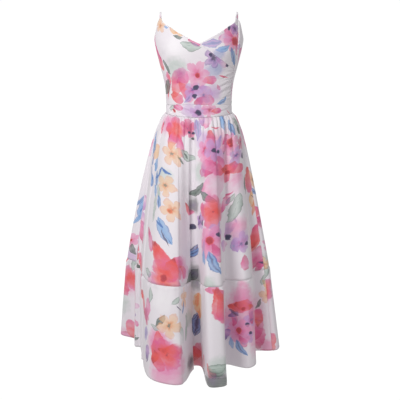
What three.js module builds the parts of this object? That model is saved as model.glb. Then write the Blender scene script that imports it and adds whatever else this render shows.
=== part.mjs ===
// A sleeveless maxi dress, filled out as it is worn: straps, faux-wrap bodice, waistband, gathered
// skirt and gathered lower tier. Millimetres, +Z up. The origin is midway between the tops of the two
// straps, where the shoulders hold the dress. The front faces -Y. Left and right are the wearer's, so
// left is +X. Directions are in degrees round +Z: 0 is the front, 90 the left, 180 the back.
import * as THREE from "three";

const wall = 1.2; // thickness of the cloth in every panel
const seamGap = 0.3; // clear gap between pieces that are sewn together
const seamTrim = 0.09; // degrees that a panel stops short of a side seam
const lapGap = 1.2; // room between the two fronts where one crosses over the other

// The body of the dress at each height: half its width, and how far it reaches in front and behind.
const sections = [
  { z: 20, half: 155, front: 92, back: 78 },
  { z: -30, half: 158.5, front: 98, back: 84 },
  { z: -70, half: 162, front: 104, back: 90 },
  { z: -98, half: 165, front: 108, back: 93 },
  { z: -134, half: 159.5, front: 110, back: 94 },
  { z: -170, half: 151, front: 108, back: 92 },
  { z: -199, half: 144, front: 105, back: 90 },
  { z: -229, half: 136, front: 102, back: 88 },
  { z: -259, half: 130, front: 99, back: 86 },
  { z: -289, half: 127, front: 97, back: 85 },
  { z: -319, half: 126, front: 96, back: 84 },
  { z: -345, half: 126, front: 96, back: 84.5 },
  { z: -375, half: 128.5, front: 97.5, back: 86 },
];
const cups = { deg: 33, z: -140, proud: 12, wide: 19, tall: 42 }; // fullness cut into each front

// Upper edges of the bodice, the same on both sides: the neckline, then the armhole and back edge.
const neckline = [
  { deg: 0, z: -108 },
  { deg: 7, z: -99 },
  { deg: 16.4, z: -85 },
  { deg: 28, z: -70 },
  { deg: 41, z: -51 },
  { deg: 50, z: -42 },
  { deg: 56, z: -33 },
  { deg: 59.7, z: -21 },
];
const armhole = [
  { deg: 63, z: -21 },
  { deg: 66.5, z: -29 },
  { deg: 71, z: -39 },
  { deg: 79, z: -70 },
  { deg: 90, z: -98 },
  { deg: 110, z: -113 },
  { deg: 140, z: -121 },
  { deg: 180, z: -125 },
];
// The free edge of a front, from the point of the V to the far side seam.
const crossing = [
  { deg: 0, z: -108 },
  { deg: 9.7, z: -125 },
  { deg: 20, z: -147 },
  { deg: 35, z: -171 },
  { deg: 57, z: -196 },
  { deg: 70, z: -206 },
];
// Where the side seams run. They sit in front of the sides, and not alike.
const sideSeams = [
  { z: -20, right: -72, left: 67 },
  { z: -72, right: -80, left: 64.5 },
  { z: -107, right: -77, left: 61.5 },
  { z: -156, right: -67, left: 65 },
  { z: -188, right: -59, left: 65.5 },
  { z: -236, right: -51, left: 69 },
  { z: -293, right: -63, left: 75 },
  { z: -335, right: -69, left: 78 },
];
// Both edges of the waistband, at the front and back middles and at the sides.
const waist = { topFront: -325, topSide: -334, bottomFront: -371, bottomSide: -367 };
const mmPerDeg = 2.1; // round the bodice near the left side seam
// Folds drawn into that seam, and soft pleats across the waistband at the front right.
const ruching = { pitch: 23, proud: 4.6, slant: 0.28, reach: 95, rise: 16, from: -196, to: -318, fade: 20 };
const bandPleats = { pitch: 17, proud: 2.6, slant: 0.55, deg: -52, wide: 24, fade: 26 };

// The strap's middle line after it leaves the front corner. It ends behind the back's upper edge.
const strap = {
  wide: 5.6,
  thick: 2,
  tuck: 12, // how far each end reaches down inside the bodice
  frontDeg: 61.35,
  backDeg: 128,
  square: 0.4, // how square its section is
  steps: 26,
  sides: 8,
};
// The shares of its length where the strap has turned flat, starts to turn again, and has turned.
const strapTurn = { flat: 0.3, again: 0.45, turned: 0.9 };
const strapRoute = [
  { x: 138.2, y: -34, z: -6 },
  { x: 139.5, y: -10, z: 0 },
  { x: 142, y: 16, z: -7 },
  { x: 144, y: 40, z: -36 },
  { x: 140, y: 55, z: -78 },
];

// Skirt, from the waistband to the hem. Down is the share of its length, measured down the cloth.
const skirtLength = 1021;
const tierAt = 0.62; // where the lower tier is sewn on
const tierDip = 20; // how much lower that seam hangs at the sides
const hemRound = { half: 344, front: 330, back: 322 }; // the flare, before its folds
const sway = 7; // how far the middle of the skirt hangs over to the right side
const foldGrowth = 1.02; // how late down the cloth the big folds open
const flare = [
  { down: 0, spread: 0 },
  { down: 0.02, spread: 0.07 },
  { down: 0.051, spread: 0.137 },
  { down: 0.084, spread: 0.198 },
  { down: 0.15, spread: 0.288 },
  { down: 0.284, spread: 0.441 },
  { down: 0.457, spread: 0.617 },
  { down: 0.637, spread: 0.779 },
  { down: 0.826, spread: 0.901 },
  { down: 1, spread: 1 },
];
// The big folds at the hem: for each, the valley before it and its crest, as direction, distance
// from the axis and width across, and the direction at the waistband that the valley hangs from.
const folds = [
  { valley: -1.8, depth: 196, floor: 24, waist: -13, crest: 11, reach: 386, wide: 62 },
  { valley: 29, depth: 226, floor: 22, waist: 46, crest: 45, reach: 313, wide: 48 },
  { valley: 66, depth: 262, floor: 20, waist: 82, crest: 75, reach: 355, wide: 50 },
  { valley: 93, depth: 268, floor: 24, waist: 105, crest: 105, reach: 338, wide: 54 },
  { valley: 120, depth: 252, floor: 26, waist: 127, crest: 134, reach: 352, wide: 66 },
  { valley: 150, depth: 236, floor: 24, waist: 153, crest: 163, reach: 371, wide: 60 },
  { valley: 177, depth: 214, floor: 26, waist: 179, crest: 191, reach: 377, wide: 68 },
  { valley: 206, depth: 242, floor: 24, waist: 204, crest: 218, reach: 346, wide: 54 },
  { valley: 231, depth: 260, floor: 26, waist: 227, crest: 243, reach: 341, wide: 50 },
  { valley: 255, depth: 272, floor: 20, waist: 246, crest: 266, reach: 351, wide: 40 },
  { valley: 273, depth: 286, floor: 14, waist: 262, crest: 282, reach: 287, wide: 26 },
  { valley: 287, depth: 264, floor: 16, waist: 276, crest: 339, reach: 388, wide: 132 },
];
const crestDrop = 0.3; // how far a crest's shoulders fall back, as a share of half its width
const gathers = { count: 36, proud: 3.4, fade: 0.085 }; // at the waistband
const softFolds = { count: 17, proud: 4.2, peak: 0.16, fade: 0.13 }; // gathers that have run together
const tierGathers = { count: 36, proud: 3, fade: 0.06 };

const bodiceRows = 20;
const skirtColumns = 144;
const skirtRows = [0, 0.012, 0.032, 0.065, 0.115, 0.185, 0.275, 0.38, 0.5, tierAt];
const tierRows = [tierAt, 0.637, 0.67, 0.74, 0.86, 1];

const radians = (deg) => (deg * Math.PI) / 180;
const mix = (a, b, share) => a + (b - a) * share;
const ease = (share) => {
  const s = Math.min(Math.max(share, 0), 1);
  return s * s * (3 - 2 * s);
};
const bell = (offset, width) => Math.exp(-((offset / width) ** 2));

// A smooth curve through one column of a table, read against another column.
function reader(rows, from, to) {
  const slope = (i) => (rows[i + 1][to] - rows[i][to]) / (rows[i + 1][from] - rows[i][from]);
  const last = rows.length - 1;
  const tangents = rows.map((_, i) => {
    if (i === 0) return slope(0);
    if (i === last) return slope(last - 1);
    return (slope(i - 1) + slope(i)) / 2;
  });
  return (x) => {
    const rising = rows[last][from] > rows[0][from];
    let i = 0;
    while (i < last - 1 && (rising ? x > rows[i + 1][from] : x < rows[i + 1][from])) i += 1;
    const span = rows[i + 1][from] - rows[i][from];
    const s = Math.min(Math.max((x - rows[i][from]) / span, 0), 1);
    return (
      rows[i][to] * (2 * s ** 3 - 3 * s ** 2 + 1) +
      rows[i + 1][to] * (3 * s ** 2 - 2 * s ** 3) +
      tangents[i] * span * (s ** 3 - 2 * s ** 2 + s) +
      tangents[i + 1] * span * (s ** 3 - s ** 2)
    );
  };
}

const halfAt = reader(sections, "z", "half");
const frontAt = reader(sections, "z", "front");
const backAt = reader(sections, "z", "back");
const necklineAt = reader(neckline, "deg", "z");
const armholeAt = reader(armhole, "deg", "z");
const crossingAt = reader(crossing, "deg", "z");
const rightSeamAt = reader(sideSeams, "z", "right");
const leftSeamAt = reader(sideSeams, "z", "left");
const spreadAt = reader(flare, "down", "spread");

const cornerStart = neckline.at(-1).deg;
const cornerEnd = armhole[0].deg;

// The worn edge of the bodice in any direction.
function upperEdge(deg) {
  const turned = Math.abs(((deg + 540) % 360) - 180);
  if (turned <= cornerStart) return necklineAt(turned);
  if (turned >= cornerEnd) return armholeAt(turned);
  return armhole[0].z;
}

function waistTop(deg) {
  return mix(waist.topFront, waist.topSide, Math.sin(radians(deg)) ** 2);
}

function waistBottom(deg) {
  return mix(waist.bottomFront, waist.bottomSide, Math.sin(radians(deg)) ** 2);
}

// A point on the outer face of the bodice or waistband.
function bodyPoint(deg, z) {
  const turn = radians(deg);
  const ahead = Math.cos(turn);
  const side = ((deg + 540) % 360) - 180;
  const fullness =
    cups.proud *
    bell(z - cups.z, cups.tall) *
    (bell(side - cups.deg, cups.wide) + bell(side + cups.deg, cups.wide));
  const depth = ahead > 0 ? frontAt(z) : backAt(z);
  const x = halfAt(z) * Math.sin(turn) + fullness * Math.sin(turn);
  return new THREE.Vector3(x, -(depth + fullness) * ahead, z);
}

function bodyNormal(deg, z) {
  const across = bodyPoint(deg + 0.5, z).sub(bodyPoint(deg - 0.5, z));
  const up = bodyPoint(deg, z + 1).sub(bodyPoint(deg, z - 1));
  return across.cross(up).normalize();
}

// One closed wall from rows of outer and inner points, each row running round towards the left.
function wallSolid(name, outer, inner, color) {
  const rows = outer.length;
  const columns = outer[0].length;
  const points = [];
  const faces = [];
  const at = (row, column, inside) => (inside * rows + row) * columns + column;
  const quad = (a, b, c, d) => faces.push(a, b, c, a, c, d);
  for (const grid of [outer, inner]) {
    for (const p of grid.flat()) points.push(p.x, p.y, p.z);
  }
  for (let r = 0; r < rows - 1; r += 1) {
    for (let c = 0; c < columns - 1; c += 1) {
      quad(at(r, c, 0), at(r + 1, c, 0), at(r + 1, c + 1, 0), at(r, c + 1, 0));
      quad(at(r, c, 1), at(r, c + 1, 1), at(r + 1, c + 1, 1), at(r + 1, c, 1));
    }
    const end = columns - 1;
    quad(at(r, 0, 0), at(r, 0, 1), at(r + 1, 0, 1), at(r + 1, 0, 0));
    quad(at(r, end, 0), at(r + 1, end, 0), at(r + 1, end, 1), at(r, end, 1));
  }
  for (let c = 0; c < columns - 1; c += 1) {
    const end = rows - 1;
    quad(at(0, c, 0), at(0, c + 1, 0), at(0, c + 1, 1), at(0, c, 1));
    quad(at(end, c, 0), at(end, c, 1), at(end, c + 1, 1), at(end, c + 1, 0));
  }
  return namedMesh(name, points, faces, color);
}

function namedMesh(name, points, faces, color) {
  const geometry = new THREE.BufferGeometry();
  geometry.setAttribute("position", new THREE.Float32BufferAttribute(points, 3));
  geometry.setIndex(faces);
  geometry.computeVertexNormals();
  const material = new THREE.MeshStandardMaterial({ color, roughness: 0.62, metalness: 0 });
  const mesh = new THREE.Mesh(geometry, material);
  mesh.name = name;
  return mesh;
}

// Even steps between corners that must each have a column.
function stepsThrough(corners, longest) {
  const out = [corners[0]];
  for (let i = 1; i < corners.length; i += 1) {
    const count = Math.max(1, Math.ceil((corners[i] - corners[i - 1]) / longest));
    for (let k = 1; k <= count; k += 1) out.push(mix(corners[i - 1], corners[i], k / count));
  }
  return out;
}

// A panel of the bodice between two seams, from an upper edge down to the waist. Its columns are
// given by their directions at the upper edge. Proud moves the cloth out, and inset moves it in.
function bodicePanel(name, { tops, edge, from, to, rows, inset = 0, proud = () => 0, color }) {
  const columns = tops.map((deg) => {
    const z = edge(deg);
    return { z, share: (deg - from(z)) / (to(z) - from(z)) };
  });
  columns[0].share = 0;
  columns.at(-1).share = 1;
  const outer = [];
  const inner = [];
  for (let r = 0; r <= rows; r += 1) {
    const cells = columns.map(({ z: top, share }) => {
      const low = waistTop(mix(from(waist.topFront), to(waist.topFront), share));
      const z = mix(top, low, r / rows);
      const deg = mix(from(z) + seamTrim, to(z) - seamTrim, share);
      const out = bodyNormal(deg, z);
      if (r === rows) out.setZ(0).normalize();
      const face = bodyPoint(deg, z).addScaledVector(out, proud(deg, z) - inset);
      return { face, lining: face.clone().addScaledVector(out, -wall) };
    });
    outer.push(cells.map((cell) => cell.face));
    inner.push(cells.map((cell) => cell.lining));
  }
  return wallSolid(name, outer, inner, color);
}

// Folds drawn into the left side seam. They only stand out, because a second front lies below.
function ruchingAt(deg, z) {
  const away = (leftSeamAt(z) - deg) * mmPerDeg;
  const across = mix(0.35, 1, ease(away / ruching.rise)) * (1 - ease(away / ruching.reach));
  const down = ease((ruching.from - z) / ruching.fade) * ease((z - ruching.to) / ruching.fade);
  const wave = 0.5 + 0.5 * Math.cos((2 * Math.PI * (z - ruching.slant * away)) / ruching.pitch);
  return ruching.proud * across * down * wave;
}

function bandPleatsAt(deg, z) {
  const spread = bell(deg - bandPleats.deg, bandPleats.wide);
  const middle = (waistTop(deg) + waistBottom(deg)) / 2;
  const fade = 1 - ease(Math.abs(z - middle) / bandPleats.fade);
  const phase = (z - bandPleats.slant * deg) / bandPleats.pitch;
  return bandPleats.proud * spread * fade * (0.5 + 0.5 * Math.cos(2 * Math.PI * phase));
}

function bodice() {
  const rightTop = -80;
  const leftTop = 66.5;
  const corners = [cornerStart, cornerEnd];
  const over = bodicePanel("bodice_over", {
    tops: stepsThrough([rightTop, -corners[1], -corners[0], -50, 0, 20, leftTop], 8),
    edge: (deg) => (deg <= 0 ? upperEdge(deg) : crossingAt(deg)),
    from: rightSeamAt,
    to: leftSeamAt,
    rows: bodiceRows,
    proud: ruchingAt,
    color: 0xead3df,
  });
  const under = bodicePanel("bodice_under", {
    tops: stepsThrough([-57, -20, 0, 50, corners[0], corners[1], leftTop], 9),
    edge: (deg) => (deg >= 0 ? upperEdge(deg) : crossingAt(-deg)),
    from: rightSeamAt,
    to: leftSeamAt,
    rows: 10,
    inset: wall + lapGap,
    color: 0xe2cbe0,
  });
  const back = bodicePanel("bodice_back", {
    tops: stepsThrough([leftTop, 90, 180, 270, 360 + rightTop], 12),
    edge: upperEdge,
    from: leftSeamAt,
    to: (z) => 360 + rightSeamAt(z),
    rows: bodiceRows,
    color: 0xe6d8e0,
  });
  return [over, under, back];
}

function waistband(name, fromDeg, toDeg, color) {
  const columns = 30;
  const rows = 6;
  const outer = [];
  const inner = [];
  for (let r = 0; r <= rows; r += 1) {
    const cells = [];
    for (let c = 0; c <= columns; c += 1) {
      const deg = mix(fromDeg + seamTrim, toDeg - seamTrim, c / columns);
      const z = mix(waistTop(deg) - seamGap, waistBottom(deg), r / rows);
      const out = bodyNormal(deg, z).setZ(0).normalize();
      const face = bodyPoint(deg, z).addScaledVector(out, bandPleatsAt(deg, z));
      cells.push({ face, lining: face.clone().addScaledVector(out, -wall) });
    }
    outer.push(cells.map((cell) => cell.face));
    inner.push(cells.map((cell) => cell.lining));
  }
  return wallSolid(name, outer, inner, color);
}

// A flat turned strap: tucked inside the front corner, over the shoulder, and inside the back edge.
function strapMesh(name, side, frontInset, color) {
  const ends = [
    { deg: strap.frontDeg, inset: frontInset + wall + lapGap + strap.thick / 2 },
    { deg: strap.backDeg, inset: wall + lapGap + strap.thick / 2 },
  ].map(({ deg, inset }) => {
    const edge = upperEdge(deg);
    const place = (z) => bodyPoint(deg, z).addScaledVector(bodyNormal(deg, z), -inset);
    const along = bodyPoint(deg + 0.5, edge).sub(bodyPoint(deg - 0.5, edge)).setZ(0).normalize();
    return { low: place(edge - strap.tuck), edge: place(edge + 3), along };
  });
  const [front, back] = ends;
  const middle = strapRoute.map(({ x, y, z }) => new THREE.Vector3(x, y, z));
  const route = new THREE.CatmullRomCurve3([front.low, front.edge, ...middle, back.edge, back.low]);
  const acrossTop = new THREE.Vector3(1, 0, 0);
  const { steps, sides } = strap;
  const squared = (value) => Math.sign(value) * Math.abs(value) ** strap.square;
  const points = [];
  const faces = [];
  for (let i = 0; i <= steps; i += 1) {
    const u = i / steps;
    const p = route.getPointAt(u);
    const run = route.getTangentAt(u);
    const across = acrossTop.clone();
    if (u < strapTurn.flat) across.lerp(front.along, 1 - ease(u / strapTurn.flat));
    if (u > strapTurn.again) {
      const turned = ease((u - strapTurn.again) / (strapTurn.turned - strapTurn.again));
      across.lerp(back.along.clone().negate(), turned);
    }
    across.addScaledVector(run, -across.dot(run)).normalize();
    const out = new THREE.Vector3().crossVectors(run, across);
    for (let k = 0; k < sides; k += 1) {
      const turn = (2 * Math.PI * (k + 0.5)) / sides;
      const q = p
        .clone()
        .addScaledVector(across, (strap.wide / 2) * squared(Math.cos(turn)))
        .addScaledVector(out, (strap.thick / 2) * squared(Math.sin(turn)));
      points.push(q.x * side, q.y, q.z);
    }
  }
  const face = (a, b, c) => (side > 0 ? faces.push(a, b, c) : faces.push(a, c, b));
  for (let i = 0; i < steps; i += 1) {
    for (let k = 0; k < sides; k += 1) {
      const a = i * sides + k;
      const b = i * sides + ((k + 1) % sides);
      face(a, b, b + sides);
      face(a, b + sides, a + sides);
    }
  }
  for (let k = 1; k < sides - 1; k += 1) {
    face(0, k + 1, k);
    face(steps * sides, steps * sides + k, steps * sides + k + 1);
  }
  return namedMesh(name, points, faces, color);
}

// The closed hem line seen from above, through each fold's valley floor and crest.
function hemLine() {
  const points = [];
  const add = (deg, reach, sideways) => {
    const turn = radians(deg);
    const x = reach * Math.sin(turn) + sideways * Math.cos(turn);
    const y = -reach * Math.cos(turn) + sideways * Math.sin(turn);
    points.push(new THREE.Vector3(x, y, 0));
  };
  for (const fold of folds) {
    const shoulder = fold.wide / 2;
    add(fold.valley, fold.depth, -fold.floor / 2);
    add(fold.valley, fold.depth, fold.floor / 2);
    add(fold.crest, fold.reach - crestDrop * shoulder, -shoulder);
    add(fold.crest, fold.reach, 0);
    add(fold.crest, fold.reach - crestDrop * shoulder, shoulder);
  }
  const line = new THREE.CatmullRomCurve3(points, true, "centripetal");
  line.arcLengthDivisions = points.length * 40;
  return line;
}

// Each column of the skirt hangs from one direction at the waistband and ends at one hem point.
function skirtColumnsFrom(line) {
  const lengths = line.getLengths();
  const perPoint = line.arcLengthDivisions / (folds.length * 5);
  const hung = folds.map((fold, i) => ({
    share: (lengths[i * 5 * perPoint] + lengths[(i * 5 + 1) * perPoint]) / 2 / lengths.at(-1),
    deg: fold.waist,
  }));
  const before = { share: hung.at(-1).share - 1, deg: hung.at(-1).deg - 360 };
  const after = hung.slice(0, 2).map(({ share, deg }) => ({ share: share + 1, deg: deg + 360 }));
  const waistDegAt = reader([before, ...hung, ...after], "share", "deg");
  return Array.from({ length: skirtColumns }, (_, i) => {
    const share = i / skirtColumns;
    return { share, waistDeg: waistDegAt(share), hem: line.getPointAt(share) };
  });
}

// The smooth run of one column, as points down the cloth that keep the cloth's length.
function columnRun({ waistDeg, hem }) {
  const steps = 200;
  const top = bodyPoint(waistDeg, waistBottom(waistDeg) - seamGap);
  const turn = Math.atan2(hem.x, -hem.y);
  const deep = Math.cos(turn) > 0 ? hemRound.front : hemRound.back;
  const round = new THREE.Vector3(hemRound.half * Math.sin(turn), -deep * Math.cos(turn), 0);
  const run = [top.clone()];
  let last = top;
  for (let i = 1; i <= steps; i += 1) {
    const down = i / steps;
    const spread = spreadAt(down);
    const growth = down ** foldGrowth;
    const aside = sway * Math.sin(Math.PI * down);
    const x = top.x + spread * (round.x - top.x) + growth * (hem.x - round.x) - aside;
    const y = top.y + spread * (round.y - top.y) + growth * (hem.y - round.y);
    const step = skirtLength / steps;
    const away = Math.min(Math.hypot(x - last.x, y - last.y), step * 0.9);
    last = new THREE.Vector3(x, y, last.z - Math.sqrt(step ** 2 - away ** 2));
    run.push(last);
  }
  return (down) => {
    const place = Math.min(down, 1) * steps;
    const i = Math.min(Math.floor(place), steps - 1);
    return run[i].clone().lerp(run[i + 1], place - i);
  };
}

function wavesAt(share, down, belowTier) {
  const turn = 2 * Math.PI * share;
  if (belowTier) {
    const past = down - tierAt;
    const puff = ease(past / 0.017) * Math.exp(-past / tierGathers.fade);
    return tierGathers.proud * puff * Math.sin(tierGathers.count * turn + 1.1 * Math.sin(5 * turn));
  }
  const small = mix(0.35, 1, ease(down / 0.02)) * Math.exp(-down / gathers.fade);
  const soft = bell(down - softFolds.peak, softFolds.fade) * ease(down / 0.06);
  return (
    gathers.proud * small * Math.sin(gathers.count * turn + 0.9 * Math.sin(7 * turn)) +
    softFolds.proud * soft * Math.sin(softFolds.count * turn + 1.3 * Math.sin(3 * turn))
  );
}

// A ring of cloth for each row, cut into a front and a back at the side seams.
function skirtStage(names, rows, runs, columns, belowTier, colors) {
  const count = columns.length;
  const grid = rows.map((down) =>
    runs.map((run, c) => {
      const dip = (tierDip * Math.sin(radians(columns[c].waistDeg)) ** 2) / skirtLength;
      const level = belowTier
        ? mix(tierAt + dip + seamGap / skirtLength, 1, (down - tierAt) / (1 - tierAt))
        : down * (1 + dip / tierAt);
      return run(level);
    }),
  );
  const waved = grid.map((ring, r) =>
    ring.map((p, c) => {
      const across = ring[(c + 1) % count].clone().sub(ring[(c + count - 1) % count]);
      const out = new THREE.Vector3(across.y, -across.x, 0).normalize();
      const lift = belowTier && r === 0 ? 0 : wavesAt(columns[c].share, rows[r], belowTier);
      return p.clone().addScaledVector(out, lift);
    }),
  );
  const lining = waved.map((ring, r) =>
    ring.map((p, c) => {
      const across = ring[(c + 1) % count].clone().sub(ring[(c + count - 1) % count]);
      const above = waved[Math.max(r - 1, 0)][c];
      const below = waved[Math.min(r + 1, waved.length - 1)][c];
      const out = below.clone().sub(above).cross(across);
      if (r === 0 || r === waved.length - 1) out.setZ(0);
      return p.clone().addScaledVector(out.normalize(), -wall);
    }),
  );
  const nearest = (deg) => {
    const misses = columns.map(({ waistDeg }) => Math.abs(((waistDeg - deg + 540) % 360) - 180));
    return misses.indexOf(Math.min(...misses));
  };
  const left = nearest(90);
  const right = nearest(270);
  const slice = (rings, from, to) =>
    rings.map((ring) => {
      const part = [];
      for (let c = from; c <= to; c += 1) part.push(ring[(c + count) % count].clone());
      const pull = (edge, inward) => {
        const away = inward.clone().sub(edge).normalize();
        edge.addScaledVector(away, seamGap / 2);
      };
      pull(part[0], part[1]);
      pull(part.at(-1), part.at(-2));
      return part;
    });
  return [
    { from: right - count, to: left },
    { from: left, to: right },
  ].map(({ from, to }, i) =>
    wallSolid(names[i], slice(waved, from, to), slice(lining, from, to), colors[i]),
  );
}

function skirt() {
  const columns = skirtColumnsFrom(hemLine());
  const runs = columns.map(columnRun);
  const upper = skirtStage(
    ["skirt_front", "skirt_back"],
    skirtRows,
    runs,
    columns,
    false,
    [0xefdbe4, 0xe5d3dd],
  );
  const lower = skirtStage(
    ["tier_front", "tier_back"],
    tierRows,
    runs,
    columns,
    true,
    [0xead6e0, 0xe0d0da],
  );
  return [...upper, ...lower];
}

const group = new THREE.Group();
group.add(...bodice());
group.add(waistband("waistband_front", -90, 90, 0xe7cfe0));
group.add(waistband("waistband_back", 90, 270, 0xdfcbd8));
group.add(strapMesh("strap_left", 1, wall + lapGap, 0xe9dfe4));
group.add(strapMesh("strap_right", -1, 0, 0xe9dfe4));
group.add(...skirt());

export default group;
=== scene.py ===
import math

import bpy
import numpy as np
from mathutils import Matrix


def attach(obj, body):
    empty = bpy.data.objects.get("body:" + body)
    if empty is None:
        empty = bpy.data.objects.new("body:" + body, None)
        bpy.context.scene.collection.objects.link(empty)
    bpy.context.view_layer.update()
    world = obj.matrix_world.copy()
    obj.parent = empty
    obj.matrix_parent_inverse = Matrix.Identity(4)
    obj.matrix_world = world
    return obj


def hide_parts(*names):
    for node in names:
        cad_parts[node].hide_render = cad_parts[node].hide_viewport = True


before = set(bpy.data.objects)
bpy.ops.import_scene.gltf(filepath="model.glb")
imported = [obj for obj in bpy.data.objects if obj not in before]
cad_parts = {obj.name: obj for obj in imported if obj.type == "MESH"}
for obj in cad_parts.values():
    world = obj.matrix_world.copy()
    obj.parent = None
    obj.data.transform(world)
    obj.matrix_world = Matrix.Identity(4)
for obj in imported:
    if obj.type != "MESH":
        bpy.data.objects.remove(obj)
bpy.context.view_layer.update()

mm = 0.001
wall = 0.9  # cloth thickness, in mm as every size below unless it says otherwise


# Smooth curves, and sizes shared with the solids

def reader(xs, ys):
    # a smooth function through these points, level beyond its ends
    xs = np.array(xs, float)
    ys = np.array(ys, float)
    if xs[0] > xs[-1]:
        xs = xs[::-1]
        ys = ys[::-1]
    slopes = np.diff(ys) / np.diff(xs)
    tangents = np.concatenate([slopes[:1], (slopes[:-1] + slopes[1:]) / 2, slopes[-1:]])

    def read(x):
        x = np.asarray(x, float)
        i = np.clip(np.searchsorted(xs, x) - 1, 0, len(xs) - 2)
        span = xs[i + 1] - xs[i]
        s = np.clip((x - xs[i]) / span, 0, 1)
        ends = ys[i] * (2 * s**3 - 3 * s**2 + 1) + ys[i + 1] * (3 * s**2 - 2 * s**3)
        return ends + span * (tangents[i] * (s**3 - 2 * s**2 + s) + tangents[i + 1] * (s**3 - s**2))

    return read


def columnsOf(rows, names):
    return {name: [row[k] for row in rows] for k, name in enumerate(names)}


def ease(share):
    s = np.clip(share, 0, 1)
    return s * s * (3 - 2 * s)


def bell(offset, width):
    return np.exp(-((offset / width) ** 2))


def mix(a, b, share):
    return a + (b - a) * share


def unit(vectors):
    return vectors / np.maximum(np.linalg.norm(vectors, axis=-1, keepdims=True), 1e-9)


def turned(deg):
    # the same direction, from -180 to 180
    return (np.asarray(deg, float) + 540) % 360 - 180


def runOf(line):
    # distance along a line to each of its points
    return np.concatenate([[0], np.cumsum(np.linalg.norm(np.diff(line, axis=0), axis=1))])


def sampled(values, run, at):
    return np.stack([np.interp(at, run, column) for column in values.T], -1)


def curveThrough(before, start, end, after, steps):
    # centripetal curves from each start to its end
    pairs = ((before, start), (start, end), (end, after))
    a, b, c = (np.linalg.norm(q - p, axis=1, keepdims=True) ** 0.5 for p, q in pairs)
    leave = b * ((start - before) / a - (end - before) / (a + b) + (end - start) / b)
    arrive = b * ((end - start) / b - (after - start) / (b + c) + (after - end) / c)
    s = (np.arange(steps) / steps)[None, :, None]
    line = (
        start[:, None]
        + leave[:, None] * s
        + (3 * (end - start) - 2 * leave - arrive)[:, None] * s**2
        + (2 * (start - end) + leave + arrive)[:, None] * s**3
    )
    return line.reshape(-1, start.shape[1])


def creaseFrame(x, y, turn):
    # along and across a crease that is turned by this many degrees
    c = math.cos(math.radians(turn))
    s = math.sin(math.radians(turn))
    return c * x + s * y, c * y - s * x


# Directions in degrees: 0 is the front, 90 the wearer's left (+X), 180 the back
body = {
    "sections": [  # height, half width, reach in front, reach behind
        (20, 155, 92, 78), (-30, 158.5, 98, 84), (-70, 162, 104, 90), (-98, 165, 108, 93),
        (-134, 159.5, 110, 94), (-170, 151, 108, 92), (-199, 144, 105, 90), (-229, 136, 102, 88),
        (-259, 130, 99, 86), (-289, 127, 97, 85), (-319, 126, 96, 84), (-345, 126, 96, 84.5),
        (-375, 128.5, 97.5, 86),
    ],
    "cups": {"deg": 33, "z": -140, "proud": 12, "wide": 19, "tall": 42},
    "neckline": [(0, -108), (7, -99), (16.4, -85), (28, -70), (41, -51), (50, -42), (56, -33), (59.7, -21)],
    "armhole": [
        (63, -21), (66.5, -29), (71, -39), (79, -70), (90, -98), (110, -113), (140, -121), (180, -125),
    ],
    "crossing": [(0, -108), (9.7, -125), (20, -147), (35, -171), (57, -196), (70, -206)],
    "sideSeams": [  # height, right, left
        (-20, -72, 67), (-72, -80, 64.5), (-107, -77, 61.5), (-156, -67, 65), (-188, -59, 65.5),
        (-236, -51, 69), (-293, -63, 75), (-335, -69, 78),
    ],
    "waistTop": (-325, -334),  # at the front and back middles, and at the sides
    "waistBottom": (-371, -367),
    "depthShare": 0.68,  # depth over width, to measure distance round the body
}
# Distance round the body for each degree, near enough for each kind of fold, in mm
perDegree = {"ruche": 2.1, "drag": 2.3, "side": 2.2, "pleat": 2.15, "bandEnd": 2.1}
sections = columnsOf(body["sections"], ["z", "half", "front", "back"])
halfAt = reader(sections["z"], sections["half"])
frontAt = reader(sections["z"], sections["front"])
backAt = reader(sections["z"], sections["back"])
necklineAt = reader(*zip(*body["neckline"]))
armholeAt = reader(*zip(*body["armhole"]))
crossingAt = reader(*zip(*body["crossing"]))
seams = columnsOf(body["sideSeams"], ["z", "right", "left"])
rightSeamAt = reader(seams["z"], seams["right"])
leftSeamAt = reader(seams["z"], seams["left"])
cornerStart = body["neckline"][-1][0]
cornerEnd = body["armhole"][0][0]
cornerZ = body["armhole"][0][1]


def upperEdge(deg):
    away = np.abs(turned(deg))
    edge = np.where(away <= cornerStart, necklineAt(away), cornerZ)
    return np.where(away >= cornerEnd, armholeAt(away), edge)


def waistTop(deg):
    return mix(*body["waistTop"], np.sin(np.radians(deg)) ** 2)


def waistBottom(deg):
    return mix(*body["waistBottom"], np.sin(np.radians(deg)) ** 2)


def bodyPoint(deg, z):
    deg, z = np.broadcast_arrays(np.asarray(deg, float), np.asarray(z, float))
    cups = body["cups"]
    turn = np.radians(deg)
    side = turned(deg)
    fullness = cups["proud"] * bell(z - cups["z"], cups["tall"])
    fullness = fullness * (bell(side - cups["deg"], cups["wide"]) + bell(side + cups["deg"], cups["wide"]))
    depth = np.where(np.cos(turn) > 0, frontAt(z), backAt(z))
    return np.stack([(halfAt(z) + fullness) * np.sin(turn), -(depth + fullness) * np.cos(turn), z], -1)


def bodyNormal(deg, z):
    across = bodyPoint(deg + 0.5, z) - bodyPoint(deg - 0.5, z)
    up = bodyPoint(deg, z + 1) - bodyPoint(deg, z - 1)
    return unit(np.cross(across, up))


# Distance round the body from the front or back middle, for the print
arcSteps = np.radians(np.arange(-180, 181))
arcSlope = np.hypot(np.cos(arcSteps), body["depthShare"] * np.sin(arcSteps))
arcTotal = np.concatenate([[0], np.cumsum((arcSlope[1:] + arcSlope[:-1]) / 2 * np.radians(1))])
arcTotal = arcTotal - arcTotal[180]


def roundDistance(deg, z, middle=0):
    return halfAt(z) * np.interp(deg - middle, np.arange(-180, 181), arcTotal)


# Meshes

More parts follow.
